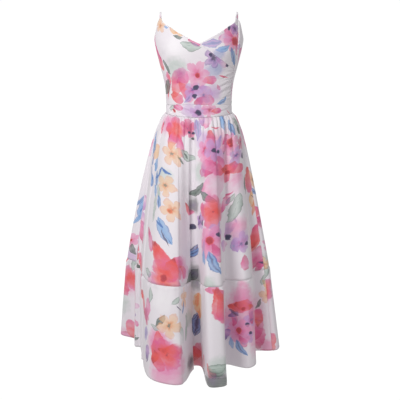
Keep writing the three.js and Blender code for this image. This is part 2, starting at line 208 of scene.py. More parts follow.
def clothPiece(name, outer, out, cloth, material, thickness=wall, hemBand=None):
    # a closed thin shell: rows of outer points from the top down, each row running to the left
    rows, count = outer.shape[:2]
    inner = outer - out * np.broadcast_to(thickness, (rows, count))[..., None]
    points = np.concatenate([outer.reshape(-1, 3), inner.reshape(-1, 3)]) * mm
    index = np.arange(rows * count).reshape(rows, count)
    under = index + rows * count
    quads = [
        np.stack([index[:-1, :-1], index[1:, :-1], index[1:, 1:], index[:-1, 1:]], -1).reshape(-1, 4),
        np.stack([under[:-1, :-1], under[:-1, 1:], under[1:, 1:], under[1:, :-1]], -1).reshape(-1, 4),
        np.stack([index[:-1, 0], under[:-1, 0], under[1:, 0], index[1:, 0]], -1),
        np.stack([index[:-1, -1], index[1:, -1], under[1:, -1], under[:-1, -1]], -1),
        np.stack([index[0, :-1], index[0, 1:], under[0, 1:], under[0, :-1]], -1),
        np.stack([index[-1, :-1], under[-1, :-1], under[-1, 1:], index[-1, 1:]], -1),
    ]
    piece = meshPiece(name, points, np.concatenate(quads), material)
    layFlat(piece, np.concatenate([cloth.reshape(-1, 2), cloth.reshape(-1, 2)]))
    marks = {"wrongSide": np.repeat([0.0, 1.0], rows * count)}
    if hemBand is not None:
        marks["hemBand"] = np.tile(np.repeat(hemBand, count), 2)
    for key, values in marks.items():
        attribute = piece.data.attributes.new(key, "FLOAT", "POINT")
        attribute.data.foreach_set("value", values.astype(np.float32))
    return piece


def meshPiece(name, points, faces, material):
    mesh = bpy.data.meshes.new(name)
    mesh.vertices.add(len(points))
    mesh.vertices.foreach_set("co", np.asarray(points, np.float32).ravel())
    faces = np.asarray(faces, np.int32)
    width = faces.shape[1]
    mesh.loops.add(faces.size)
    mesh.loops.foreach_set("vertex_index", faces.ravel())
    mesh.polygons.add(len(faces))
    mesh.polygons.foreach_set("loop_start", np.arange(len(faces), dtype=np.int32) * width)
    mesh.update(calc_edges=True)
    mesh.validate()
    mesh.polygons.foreach_set("use_smooth", np.ones(len(mesh.polygons), bool))
    piece = bpy.data.objects.new(name, mesh)
    bpy.context.scene.collection.objects.link(piece)
    piece.data.materials.append(material)
    return piece


def layFlat(piece, flat):
    # each corner's place on the uncut cloth, in metres
    layer = piece.data.uv_layers.new(name="cloth")
    corners = np.empty(len(piece.data.loops), np.int32)
    piece.data.loops.foreach_get("vertex_index", corners)
    layer.data.foreach_set("uv", (flat[corners] * mm).astype(np.float32).ravel())


def place(piece, slot, *nodes):
    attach(piece, "root")
    if nodes:
        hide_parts(*nodes)


stitch = {
    "pitch": 3.6,
    "long": 2.7,
    "shoulder": 0.55,  # where it is widest, as a share of half its length
    "wide": 0.5,
    "proud": 0.28,
    "sunk": 0.25,  # how deep its ends are in the cloth
    "fromEdge": 5.5,
}


def stitchRow(panelName, line, out):
    # small stitches along a line on a panel, as one mesh
    run = runOf(line)
    at = np.arange(stitch["pitch"], run[-1] - stitch["pitch"], stitch["pitch"])
    middle = sampled(line, run, at)
    ahead = unit(sampled(np.gradient(line, axis=0), run, at))
    up = unit(sampled(out, run, at))
    side = np.cross(up, ahead)
    half = stitch["long"] / 2
    corners = [(-half, 0, -stitch["sunk"])]
    for shift in (-stitch["shoulder"] * half, stitch["shoulder"] * half):
        for across, lift in ((0.5, 0), (0, 1), (-0.5, 0), (0, -1)):
            corners.append((shift, across * stitch["wide"], lift * stitch["proud"]))
    corners.append((half, 0, -stitch["sunk"]))
    points = np.stack([middle + a * ahead + b * side + c * up for a, b, c in corners], 1)
    faces = []
    for k in range(4):
        after = (k + 1) % 4
        faces += [(0, 1 + after, 1 + k), (1 + k, 1 + after, 5 + k)]
        faces += [(5 + k, 1 + after, 5 + after), (5 + k, 5 + after, 9)]
    first = np.arange(len(at))[:, None, None] * len(corners)
    faces = (first + np.array(faces)[None]).reshape(-1, 3)
    row = meshPiece(panelName.replace("_panel", "") + "_stitches", points.reshape(-1, 3) * mm, faces, thread)
    place(row, "printed_crepe")
    return row


def onGrid(grid, level):
    # points at a fractional row of the grid, one for each column
    level = np.clip(np.broadcast_to(level, grid.shape[1]), 0, len(grid) - 1.001)
    i = level.astype(int)
    s = (level - i)[:, None]
    column = np.arange(grid.shape[1])
    return grid[i, column] * (1 - s) + grid[i + 1, column] * s


# Colours and print

def tint(red, green, blue):
    # a colour as it looks on a screen, 0 to 255
    return tuple(((c / 255 + 0.055) / 1.055) ** 2.4 for c in (red, green, blue)) + (1,)


dyes = {
    "ground": tint(236, 229, 235),
    "white": tint(244, 240, 243),
    "blush": tint(240, 196, 218),
    "rose": tint(234, 142, 186),
    "pink": tint(226, 88, 150),
    "magenta": tint(206, 50, 112),
    "salmon": tint(236, 96, 118),
    "coral": tint(236, 74, 66),
    "orange": tint(236, 112, 70),
    "red": tint(184, 34, 54),
    "lilac": tint(198, 152, 208),
    "mauve": tint(190, 104, 176),
    "violet": tint(126, 92, 164),
    "plum": tint(82, 54, 106),
    "navy": tint(44, 42, 84),
    "peach": tint(240, 192, 146),
    "apricot": tint(230, 150, 96),
    "ochre": tint(156, 122, 66),
    "sky": tint(128, 174, 222),
    "blue": tint(66, 114, 186),
    "dusk": tint(128, 144, 200),
    "mist": tint(190, 204, 196),
    "sage": tint(146, 168, 156),
    "moss": tint(98, 116, 106),
    "slate": tint(58, 68, 66),
}

# What each motif looks like. Stops run from its middle (or its vein) to its edge: place, dye, cover
flowerStyles = {  # petals, how deep they part, how round, stops
    "poppy": (4, 0.62, 0.5, [
        (0, "red", 1), (0.09, "coral", 1), (0.38, "coral", 0.95), (0.6, "salmon", 0.9), (0.9, "pink", 0.75),
        (1, "rose", 0),
    ]),
    "pinkBloom": (6, 0.58, 0.6, [
        (0, "red", 1), (0.15, "magenta", 1), (0.24, "pink", 0.9), (0.55, "rose", 0.85), (0.92, "rose", 0.75),
        (1, "blush", 0),
    ]),
    "magentaBloom": (5, 0.55, 0.6, [
        (0, "plum", 1), (0.12, "magenta", 1), (0.5, "magenta", 0.8), (0.92, "pink", 0.75), (1, "rose", 0),
    ]),
    "lilacBloom": (5, 0.5, 0.65, [
        (0, "plum", 1), (0.12, "violet", 1), (0.26, "mauve", 0.85), (0.6, "lilac", 0.85),
        (0.92, "lilac", 0.75), (1, "lilac", 0),
    ]),
    "purpleBloom": (5, 0.5, 0.65, [
        (0, "navy", 1), (0.16, "plum", 1), (0.35, "violet", 0.85), (0.7, "lilac", 0.85),
        (0.93, "violet", 0.7), (1, "lilac", 0),
    ]),
    "peachBloom": (5, 0.42, 0.55, [
        (0, "ochre", 1), (0.08, "moss", 0.9), (0.16, "apricot", 0.95), (0.45, "peach", 0.8),
        (0.8, "peach", 0.7), (0.94, "apricot", 0.6), (1, "peach", 0),
    ]),
}
leafStyles = {  # half width as a share of half length, bend, stops
    "sageLeaf": (0.46, 0.14, [
        (0, "sage", 0.95), (0.07, "mist", 0.85), (0.7, "sage", 0.8), (0.92, "moss", 0.85), (1, "moss", 0),
    ]),
    "darkLeaf": (0.36, 0.16, [
        (0, "slate", 1), (0.12, "moss", 0.95), (0.6, "moss", 0.9), (0.9, "slate", 0.95), (1, "slate", 0),
    ]),
    "tealLeaf": (0.3, 0.2, [
        (0, "moss", 1), (0.1, "mist", 0.9), (0.65, "mist", 0.85), (0.9, "moss", 0.9), (1, "moss", 0),
    ]),
    "skyLeaf": (0.42, 0.12, [
        (0, "blue", 1), (0.1, "sky", 0.95), (0.7, "sky", 0.85), (0.92, "blue", 0.9), (1, "blue", 0),
    ]),
    "blueLeaf": (0.34, 0.14, [
        (0, "navy", 0.9), (0.1, "blue", 0.95), (0.5, "sky", 0.9), (0.9, "blue", 0.95), (1, "blue", 0),
    ]),
    "periLeaf": (0.42, 0.12, [
        (0, "violet", 0.9), (0.12, "dusk", 0.9), (0.6, "lilac", 0.85), (0.92, "dusk", 0.9), (1, "dusk", 0),
    ]),
    "navyLeaf": (0.42, 0.1, [
        (0, "navy", 1), (0.2, "plum", 0.95), (0.6, "dusk", 0.9), (0.9, "navy", 0.95), (1, "navy", 0),
    ]),
    "purpleLeaf": (0.45, 0.1, [(0, "navy", 1), (0.2, "plum", 0.9), (0.7, "violet", 0.85), (1, "violet", 0)]),
    "orangeLeaf": (0.4, 0.1, [
        (0, "orange", 0.9), (0.5, "apricot", 0.85), (0.9, "orange", 0.85), (1, "orange", 0),
    ]),
    "blueSprig": (0.3, 0.1, [(0, "blue", 1), (0.6, "blue", 0.9), (1, "sky", 0)]),
    "navyStroke": (0.14, 0.08, [(0, "navy", 1), (0.6, "plum", 0.9), (1, "plum", 0)]),
    "redStroke": (0.2, 0.08, [(0, "magenta", 1), (0.6, "salmon", 0.9), (1, "salmon", 0)]),
    "magentaStroke": (0.18, 0.1, [(0, "magenta", 1), (0.6, "pink", 0.9), (1, "pink", 0)]),
}
petalStyles = {  # widest share, stops of colour from the root to the tip, how soft the edge is
    "pinkPetal": (0.62, [(0, "magenta"), (0.35, "pink"), (0.75, "rose"), (1, "pink")], 0.06),
    "magentaPetal": (0.6, [(0, "magenta"), (0.45, "pink"), (0.8, "rose"), (1, "magenta")], 0.06),
    "salmonPetal": (0.66, [(0, "coral"), (0.3, "salmon"), (0.7, "pink"), (1, "rose")], 0.08),
    "coralPetal": (0.56, [(0, "red"), (0.25, "coral"), (0.6, "salmon"), (1, "pink")], 0.07),
    "palePetal": (0.68, [(0, "pink"), (0.22, "rose"), (0.5, "blush"), (1, "blush")], 0.05),
    "lilacPetal": (0.58, [(0, "mauve"), (0.4, "lilac"), (0.8, "blush"), (1, "mauve")], 0.07),
    "purplePetal": (0.56, [(0, "plum"), (0.35, "violet"), (0.75, "lilac"), (1, "violet")], 0.07),
    "peachPetal": (0.6, [(0, "apricot"), (0.4, "peach"), (0.8, "peach"), (1, "apricot")], 0.07),
    "pinkFade": (0.95, [(0, "pink"), (0.3, "rose"), (0.6, "blush"), (1, "ground")], 0.35),
}
blotStyles = {
    "navyDot": [(0, "navy", 1), (0.7, "navy", 0.95), (0.86, "plum", 0.8), (1, "violet", 0)],
    "darkDot": [(0, "slate", 1), (0.7, "slate", 0.9), (1, "moss", 0)],
    "redDot": [(0, "red", 1), (0.6, "red", 0.9), (0.85, "coral", 0.7), (1, "salmon", 0)],
    "orangeDot": [(0, "ochre", 1), (0.5, "orange", 0.9), (1, "apricot", 0)],
    "pinkWash": [(0, "rose", 0.85), (0.5, "rose", 0.7), (1, "blush", 0)],
    "lilacWash": [(0, "lilac", 0.8), (0.5, "lilac", 0.6), (1, "lilac", 0)],
    "periWash": [(0, "dusk", 0.75), (0.5, "dusk", 0.6), (1, "lilac", 0)],
    "sageWash": [(0, "mist", 0.85), (0.6, "mist", 0.7), (1, "mist", 0)],
    "paleWash": [(0, "white", 0.9), (0.6, "white", 0.7), (1, "white", 0)],
    "darkWash": [(0, "plum", 0.8), (0.5, "slate", 0.65), (1, "moss", 0)],
}


class Signal:  # a shader value, so that sums written in Python become nodes
    def __init__(self, shader, socket):
        self.shader = shader
        self.socket = socket

    def __add__(self, other):
        return self.shader.math("ADD", self, other)

    __radd__ = __add__

    def __mul__(self, other):
        return self.shader.math("MULTIPLY", self, other)

    __rmul__ = __mul__

    def __sub__(self, other):
        return self.shader.math("SUBTRACT", self, other)

    def __rsub__(self, other):
        return self.shader.math("SUBTRACT", other, self)

    def __truediv__(self, other):
        return self.shader.math("DIVIDE", self, other)

    def __pow__(self, other):
        return self.shader.math("POWER", self, other)

    def __abs__(self):
        return self.shader.math("ABSOLUTE", self)


class Shader:  # the nodes of one material or node group
    def __init__(self, tree):
        self.tree = tree
        self.tree.nodes.clear()

    def node(self, kind, settings=None, sockets=None, result=0):
        made = self.tree.nodes.new(kind)
        for key, value in (settings or {}).items():
            if key == "stops":
                self.fillRamp(made.color_ramp, value)
            else:
                setattr(made, key, value)
        for key, value in (sockets or {}).items():
            if isinstance(key, int):
                target = made.inputs[key]
            else:
                target = next(s for s in made.inputs if key in (s.identifier, s.name))
            if isinstance(value, Signal):
                self.tree.links.new(value.socket, target)
            else:
                target.default_value = value
        if result is None:
            return None
        if isinstance(result, int):
            return Signal(self, made.outputs[result])
        return Signal(self, next(s for s in made.outputs if result in (s.identifier, s.name)))

    def fillRamp(self, ramp, stops):
        elements = ramp.elements
        while len(elements) < len(stops):
            elements.new(1)
        for element, stop in zip(elements, stops):
            cover = stop[2] if len(stop) > 2 else 1
            element.position = stop[0]
            element.color = (*dyes[stop[1]][:3], cover)

    def math(self, operation, first, second=None):
        sockets = {0: first}
        if second is not None:
            sockets[1] = second
        return self.node("ShaderNodeMath", {"operation": operation}, sockets)

    def vector(self, operation, first, second=None, result=0):
        sockets = {0: first}
        if second is not None:
            sockets[1] = second
        return self.node("ShaderNodeVectorMath", {"operation": operation}, sockets, result)

    def blend(self, under, over, share, kind="MIX"):
        settings = {"data_type": "RGBA", "blend_type": kind}
        sockets = {"Factor_Float": share, "A_Color": under, "B_Color": over}
        return self.node("ShaderNodeMix", settings, sockets, "Result_Color")

    def noise(self, spot, scale, detail, result="Fac"):
        sockets = {"Vector": spot, "Scale": scale, "Detail": detail}
        return self.node("ShaderNodeTexNoise", None, sockets, result)

    def ramp(self, t, stops):
        return self.node("ShaderNodeValToRGB", {"stops": stops}, {"Fac": t})

    def other(self, signal, name):
        # another output of the node that a signal comes from
        return Signal(self, signal.socket.node.outputs[name])


printing = {
    "wander": (20, 0.022),  # how the brush strays from a clean outline: noise scale, and reach in metres
    "tremble": (75, 0.008),
    "fray": (48, 0.55),  # ragged edges and uneven bands of colour: noise scale and strength
    "pool": (30, 1.5, -0.25),  # how the pigment pools: noise scale, strength and shift
    "firm": (0.66, 0.45),  # cover of flowers and leaves, and how much pooling changes it
    "wet": (0.5, 0.7),  # the same for washes and loose petals
    "repeat": (0.64, 0.46),  # size of the smaller print's repeat, in metres
}
crepe = {
    "grainScale": 420,
    "crinkleScale": 1500,
    "weave": (9000, 0.25),  # ripples of the threads in a metre, and their share of the relief
    "relief": (0.3, 0.0002),  # strength of the bump, and its height in metres
    "paler": (0.45, 0.16, 0.12),  # on the wrong side, at the turned hem and along the grain
    "roughness": (0.56, 0.16),  # least, and what the grain adds
    "shader": {"Sheen Weight": 0.25, "Sheen Roughness": 0.4, "Specular IOR Level": 0.35},
}


def flowerShape(shader, style, x, y, fray):
    petals, base, crisp, stops = flowerStyles[style]
    lobes = abs(shader.math("COSINE", shader.math("ARCTAN2", y, x) * (petals / 2))) ** crisp
    color = shader.ramp((x * x + y * y) ** 0.5 / (lobes * (1 - base) + base) + fray, stops)
    return color, shader.other(color, "Alpha"), "firm"


def leafShape(shader, style, x, y, fray):
    slim, bend, stops = leafStyles[style]
    square = x * x
    across = abs(y - square * bend + bend * 0.4)
    color = shader.ramp(across / shader.math("MAXIMUM", (1 - square) * slim, 0.0001) + fray * 0.8, stops)
    return color, shader.other(color, "Alpha"), "firm"


def petalShape(shader, style, x, y, fray):
    wide, stops, soft = petalStyles[style]
    across = y / (x * (0.36 * wide) + wide * 0.8)
    settings = {"interpolation_type": "SMOOTHSTEP"}
    reach = x * x + across * across + fray * 0.9
    sockets = {"Value": reach, "From Min": 1, "From Max": 1 - 3 * soft, "To Min": 0, "To Max": 0.95}
    cover = shader.node("ShaderNodeMapRange", settings, sockets)
    return shader.ramp(x * 0.5 + 0.5 + fray * 0.7, stops), cover, "wet"


def blotShape(shader, style, x, y, fray):
    color = shader.ramp((x * x + y * y) ** 0.5 + fray, blotStyles[style])
    return color, shader.other(color, "Alpha"), "wet" if style.endswith("Wash") else "solid"


shapes = [
    (flowerStyles, flowerShape), (leafStyles, leafShape), (petalStyles, petalShape), (blotStyles, blotShape),
]
groupInputs = {
    "Under": "Color", "Brush": "Vector", "Pool": "Float", "Fray": "Float", "At": "Vector", "Along": "Vector",
    "Across": "Vector",
}
motifGroups = {}


def motifGroup(style, repeat):
    # one motif, laid over the colour below it
    if (style, repeat) in motifGroups:
        return motifGroups[style, repeat]
    tree = bpy.data.node_groups.new(style + ("_repeat" if repeat else ""), "ShaderNodeTree")
    shader = Shader(tree)
    for name, kind in groupInputs.items():
        tree.interface.new_socket(name=name, in_out="INPUT", socket_type="NodeSocket" + kind)
    tree.interface.new_socket(name="Color", in_out="OUTPUT", socket_type="NodeSocketColor")
    under = shader.node("NodeGroupInput")
    # the colour below shifts the place by next to nothing, so the motifs are worked out one by one
    nudge = shader.vector("MULTIPLY", under, (1e-9, 1e-9, 1e-9))
    brush = shader.vector("ADD", shader.other(under, "Brush"), nudge)
    away = shader.vector("SUBTRACT", brush, shader.other(under, "At"))
    if repeat:
        wide, tall = repeat
        limits = {0: away, 1: (wide / 2, tall / 2, 1), 2: (-wide / 2, -tall / 2, -1)}
        away = shader.node("ShaderNodeVectorMath", {"operation": "WRAP"}, limits)
    x = shader.vector("DOT_PRODUCT", away, shader.other(under, "Along"), "Value")
    y = shader.vector("DOT_PRODUCT", away, shader.other(under, "Across"), "Value")
    shape = next(make for styles, make in shapes if style in styles)
    color, cover, wetness = shape(shader, style, x, y, shader.other(under, "Fray"))
    kind = "DARKEN" if wetness == "wet" and style != "paleWash" else "MIX"
    if wetness != "solid":
        least, change = printing[wetness]
        cover = cover * (shader.other(under, "Pool") * change + least)
    shader.node("NodeGroupOutput", None, {"Color": shader.blend(under, color, cover, kind)}, None)
    motifGroups[style, repeat] = tree
    return tree


def printFor(name, rows, repeat=None):
    material = bpy.data.materials.new(name)
    material.use_nodes = True
    shader = Shader(material.node_tree)
    spot = shader.node("ShaderNodeUVMap", {"uv_map": "cloth"})
    brush = spot
    for scale, reach in (printing["wander"], printing["tremble"]):
        stray = shader.vector("SUBTRACT", shader.noise(spot, scale, 2, "Color"), (0.5, 0.5, 0.5))
        brush = shader.vector("ADD", brush, shader.vector("MULTIPLY", stray, (reach, reach, reach)))
    scale, strength, shift = printing["pool"]
    pool = shader.noise(spot, scale, 4) * strength + shift
    scale, strength = printing["fray"]
    fray = (shader.noise(spot, scale, 5) - 0.5) * strength
    color = dyes["ground"]
    for style, u, v, size, turn in rows:
        c = math.cos(math.radians(turn)) / (size * mm)
        s = math.sin(math.radians(turn)) / (size * mm)
        sockets = {
            "Under": color, "Brush": brush, "Pool": pool, "Fray": fray, "At": (u * mm, v * mm, 0),
            "Along": (c, s, 0), "Across": (-s, c, 0),
        }
        color = shader.node("ShaderNodeGroup", {"node_tree": motifGroup(style, repeat)}, sockets)
    grain = shader.noise(spot, crepe["grainScale"], 2)
    inside = shader.node("ShaderNodeAttribute", {"attribute_name": "wrongSide"}, None, "Fac")
    hem = shader.node("ShaderNodeAttribute", {"attribute_name": "hemBand"}, None, "Fac")
    atInside, atHem, atGrain = crepe["paler"]
    color = shader.blend(color, dyes["ground"], inside * atInside + hem * atHem)
    color = shader.blend(color, dyes["white"], grain * atGrain)
    threads, share = crepe["weave"]
    parts = shader.node("ShaderNodeSeparateXYZ", None, {0: spot})
    weave = shader.math("SINE", parts * threads) * shader.math("SINE", shader.other(parts, "Y") * threads)
    height = shader.noise(spot, crepe["crinkleScale"], 2) + weave * share
    strength, distance = crepe["relief"]
    bump = {"Strength": strength, "Distance": distance, "Height": height}
    normal = shader.node("ShaderNodeBump", None, bump)
    least, more = crepe["roughness"]
    sockets = {"Base Color": color, "Roughness": grain * more + least, "Normal": normal}
    shade = shader.node("ShaderNodeBsdfPrincipled", None, sockets | crepe["shader"])
    shader.node("ShaderNodeOutputMaterial", None, {"Surface": shade}, None)
    return material


# Where each motif lies on the cloth: style, distance round and up in mm, half size, turn in degrees
overMotifs = [
    ("paleWash", -76, -130, 59, 0), ("peachBloom", -154, -46, 27, 10), ("skyLeaf", -126, -50, 12, -20),
    ("peachPetal", -94, -66, 19, -35), ("peachPetal", -70, -74, 19, -10), ("darkLeaf", -74, -88, 20, -8),
    ("sageLeaf", -30, -116, 37, -12), ("pinkPetal", -18, -102, 25, -22), ("sageWash", -84, -198, 51, 55),
    ("darkLeaf", -128, -192, 31, -58), ("salmonPetal", -78, -248, 61, 68),
    ("salmonPetal", -46, -278, 46, -50), ("pinkPetal", -62, -232, 30, 34),
    ("coralPetal", -88, -300, 32, -25), ("periWash", 58, -196, 42, -15), ("purpleBloom", 50, -158, 35, 0),
    ("lilacPetal", 82, -172, 30, -35), ("navyDot", 106, -184, 9, 0), ("navyDot", 40, -148, 8, 0),
    ("lilacBloom", 16, -292, 38, 20), ("periLeaf", -36, -300, 26, 40), ("lilacBloom", -20, -272, 37, -10),
    ("salmonPetal", 38, -236, 30, 8), ("lilacPetal", 22, -270, 28, -30), ("pinkBloom", -6, -214, 50, 8),
    ("redDot", -6, -218, 10, 0), ("pinkPetal", 20, -312, 38, 8), ("navyDot", -10, -262, 12, 0),
    ("navyDot", -14, -296, 9, 0), ("redStroke", 92, -226, 20, -15), ("pinkPetal", 76, -262, 12, -70),
    ("lilacWash", 56, -280, 38, 10), ("blueLeaf", 90, -312, 26, 25), ("sageLeaf", -108, -342, 20, 30),
    ("redDot", -98, -352, 8, 0), ("lilacWash", -36, -348, 38, 0), ("pinkPetal", -80, -336, 22, 0),
    ("lilacBloom", -2, -354, 34, 15), ("navyDot", -2, -354, 12, 0), ("pinkBloom", 38, -348, 29, 30),
    ("salmonPetal", 68, -350, 22, 0), ("redStroke", 122, -358, 13, -30),
]
underMotifs = [
    ("purplePetal", 128, -52, 25, 120), ("peachPetal", 160, -72, 14, 80),
    ("lilacPetal", 100, -90, 32, 170), ("pinkBloom", 132, -90, 50, 20),
    ("magentaPetal", 154, -126, 25, -78), ("magentaPetal", 114, -72, 22, 150), ("redDot", 142, -98, 19, 0),
    ("periLeaf", 46, -106, 36, 8), ("skyLeaf", 88, -124, 29, 12), ("blueLeaf", 134, -154, 37, -65),
    ("periWash", 70, -144, 26, -20), ("purpleBloom", 142, -56, 21, 20), ("navyDot", 114, -56, 8, 0),
]
skirtMotifs = [
    ("pinkWash", 88, -124, 90, 0), ("lilacWash", 16, -96, 50, 0), ("pinkWash", 118, -202, 76, 0),
    ("pinkWash", 80, -344, 73, 0), ("pinkWash", 58, -460, 75, 0), ("lilacWash", 252, -474, 51, 0),
    ("pinkWash", -156, -568, 59, 0), ("pinkWash", -134, -34, 46, 0), ("pinkWash", -50, -38, 34, 0),
    ("pinkWash", -168, -42, 49, -70), ("redStroke", -198, -56, 25, 75), ("salmonPetal", -136, -104, 39, 80),
    ("pinkPetal", -100, -118, 42, -78), ("poppy", -112, -58, 53, 0), ("coralPetal", -146, -62, 29, 85),
    ("sageLeaf", -184, -36, 16, 60), ("magentaBloom", -52, -42, 39, 15), ("darkDot", -36, -82, 7, 0),
    ("navyDot", -44, -56, 6, 0), ("sageLeaf", -66, -148, 39, -18), ("darkLeaf", -106, -168, 21, -40),
    ("peachBloom", -140, -152, 49, 12), ("peachPetal", -236, -150, 36, 60),
    ("blueLeaf", -260, -126, 51, 76), ("skyLeaf", -238, -194, 30, 70), ("sageWash", -188, -242, 47, 80),
    ("peachBloom", -182, -268, 44, -20), ("tealLeaf", -220, -294, 33, 105),
    ("blueLeaf", -234, -248, 33, 80), ("blueSprig", -174, -216, 22, -35),
    ("blueSprig", -202, -218, 22, -130), ("tealLeaf", -244, -340, 39, 70), ("blueLeaf", -216, -330, 28, 85),
    ("lilacPetal", -368, -362, 35, 60), ("periLeaf", -10, -48, 43, 88), ("lilacPetal", 14, -14, 28, 95),
    ("palePetal", 32, -22, 32, 80), ("salmonPetal", 48, -84, 33, -80), ("redStroke", 66, -46, 20, -10),
    ("skyLeaf", 102, -28, 34, -76), ("blueLeaf", 148, -52, 37, -60), ("darkLeaf", 204, -62, 35, -68),
    ("sageLeaf", 176, -34, 22, -60), ("pinkWash", 48, -190, 74, 0), ("sageWash", 6, -208, 51, 75),
    ("lilacPetal", 80, -168, 43, -80), ("magentaPetal", 48, -178, 43, -150),
    ("magentaPetal", 106, -178, 40, -40), ("pinkBloom", 28, -130, 47, 10), ("redDot", 32, -134, 10, 0),
    ("periLeaf", 86, -102, 30, 70), ("lilacBloom", 66, -132, 45, -15), ("navyDot", 66, -132, 12, 0),
    ("navyDot", 122, -138, 8, 0), ("pinkBloom", 148, -112, 46, 30), ("redDot", 150, -114, 12, 0),
    ("lilacBloom", 182, -158, 39, 10), ("navyDot", 226, -160, 13, 0), ("coralPetal", 190, -208, 40, 5),
    ("pinkFade", 198, -260, 64, -85), ("coralPetal", 146, -224, 32, -80), ("darkLeaf", -16, -274, 50, 28),
    ("darkLeaf", 38, -302, 45, -24), ("palePetal", 68, -264, 72, 14), ("magentaStroke", 164, -300, 32, 25),
    ("sageLeaf", 186, -316, 24, 55), ("coralPetal", 302, -260, 58, -68), ("darkLeaf", 256, -272, 38, -75),
    ("peachPetal", 330, -338, 35, -70), ("navyStroke", 334, -334, 18, -40), ("darkWash", -46, -332, 38, 10),
    ("coralPetal", 18, -356, 35, 100), ("pinkPetal", 150, -334, 41, 40), ("poppy", 72, -358, 68, 0),
    ("coralPetal", -72, -346, 32, -62), ("lilacBloom", -2, -390, 37, 20), ("navyDot", -56, -418, 15, 0),
    ("darkDot", -14, -376, 8, 0), ("lilacPetal", 200, -422, 41, 60), ("lilacBloom", 92, -428, 40, 0),
    ("navyDot", 112, -448, 10, 0), ("navyDot", 200, -456, 11, 0), ("pinkBloom", 66, -468, 65, 10),
    ("redDot", 66, -464, 16, 0), ("lilacPetal", 164, -486, 42, -20), ("magentaPetal", 92, -508, 39, -60),
    ("lilacPetal", 28, -494, 31, -110), ("navyLeaf", -56, -512, 34, 62), ("skyLeaf", 38, -526, 29, -82),
    ("blueLeaf", 82, -546, 49, -62), ("sageLeaf", 208, -352, 56, 76), ("pinkWash", 236, -428, 56, 0),
    ("periLeaf", 232, -496, 34, -60), ("lilacBloom", 256, -484, 44, 20), ("navyDot", 282, -490, 9, 0),
    ("magentaPetal", 286, -562, 35, -72), ("coralPetal", 376, -498, 64, 86),
    ("magentaPetal", 400, -580, 51, 86), ("peachBloom", -172, -356, 45, 40),
    ("orangeDot", -178, -360, 13, 0), ("skyLeaf", -212, -434, 54, -70), ("blueSprig", -226, -410, 23, -50),
    ("navyStroke", -212, -460, 33, -72), ("tealLeaf", -262, -378, 28, 80),
    ("lilacPetal", -396, -408, 45, -80), ("pinkPetal", -296, -474, 43, -70),
    ("coralPetal", -242, -534, 72, -64), ("poppy", -234, -600, 70, 30), ("salmonPetal", -186, -550, 43, 30),
    ("salmonPetal", -152, -580, 36, -40), ("redDot", -240, -606, 16, 0), ("darkLeaf", -86, -616, 52, 36),
    ("darkWash", -64, -602, 46, 70), ("sageLeaf", -324, -596, 32, -10), ("pinkWash", -298, -622, 42, 0),
    ("sageLeaf", -504, -642, 69, 80), ("coralPetal", -434, -626, 67, 86), ("pinkPetal", 430, -600, 46, 70),
    ("navyStroke", 438, -602, 26, -8), ("sageWash", 62, -622, 36, 0), ("coralPetal", 160, -196, 40, 5),
    ("salmonPetal", 96, -204, 44, 175), ("magentaPetal", 50, -204, 32, 60),
    ("blueSprig", -262, -184, 24, 60), ("blueSprig", -272, -228, 24, 100), ("skyLeaf", -246, -202, 20, 80),
    ("blueLeaf", -272, -256, 29, 75), ("skyLeaf", -244, -294, 25, 100), ("blueSprig", -226, -238, 20, 30),
    ("navyDot", 16, -396, 11, 0), ("purplePetal", -16, -386, 25, 60), ("navyDot", 98, -442, 11, 0),
    ("navyDot", 198, -462, 12, 0), ("blueLeaf", -54, -516, 30, 40), ("skyLeaf", 26, -524, 25, 80),
    ("coralPetal", 374, -490, 51, 88), ("orangeLeaf", 346, -372, 37, 85),
    ("magentaPetal", 438, -602, 42, 20), ("navyStroke", 438, -606, 26, -10),
    ("coralPetal", -240, -526, 59, -70), ("coralPetal", -210, -576, 51, -110),
    ("palePetal", -138, -576, 47, -30), ("coralPetal", -470, -558, 51, 80),
    ("magentaPetal", -410, -480, 46, 85), ("darkWash", -502, -608, 38, 80),
    ("darkLeaf", -498, -634, 38, 20), ("magentaBloom", 208, -114, 28, 10), ("redDot", 146, -98, 15, 0),
    ("navyDot", -30, -60, 6, 0), ("darkLeaf", -66, -150, 16, -40), ("navyDot", 86, -136, 9, 0),
    ("magentaPetal", 120, -90, 24, 60), ("lilacWash", 100, -150, 30, 0), ("coralPetal", 150, -200, 40, 0),
    ("redDot", 150, -214, 10, 0), ("magentaPetal", 30, -210, 34, 170),
]
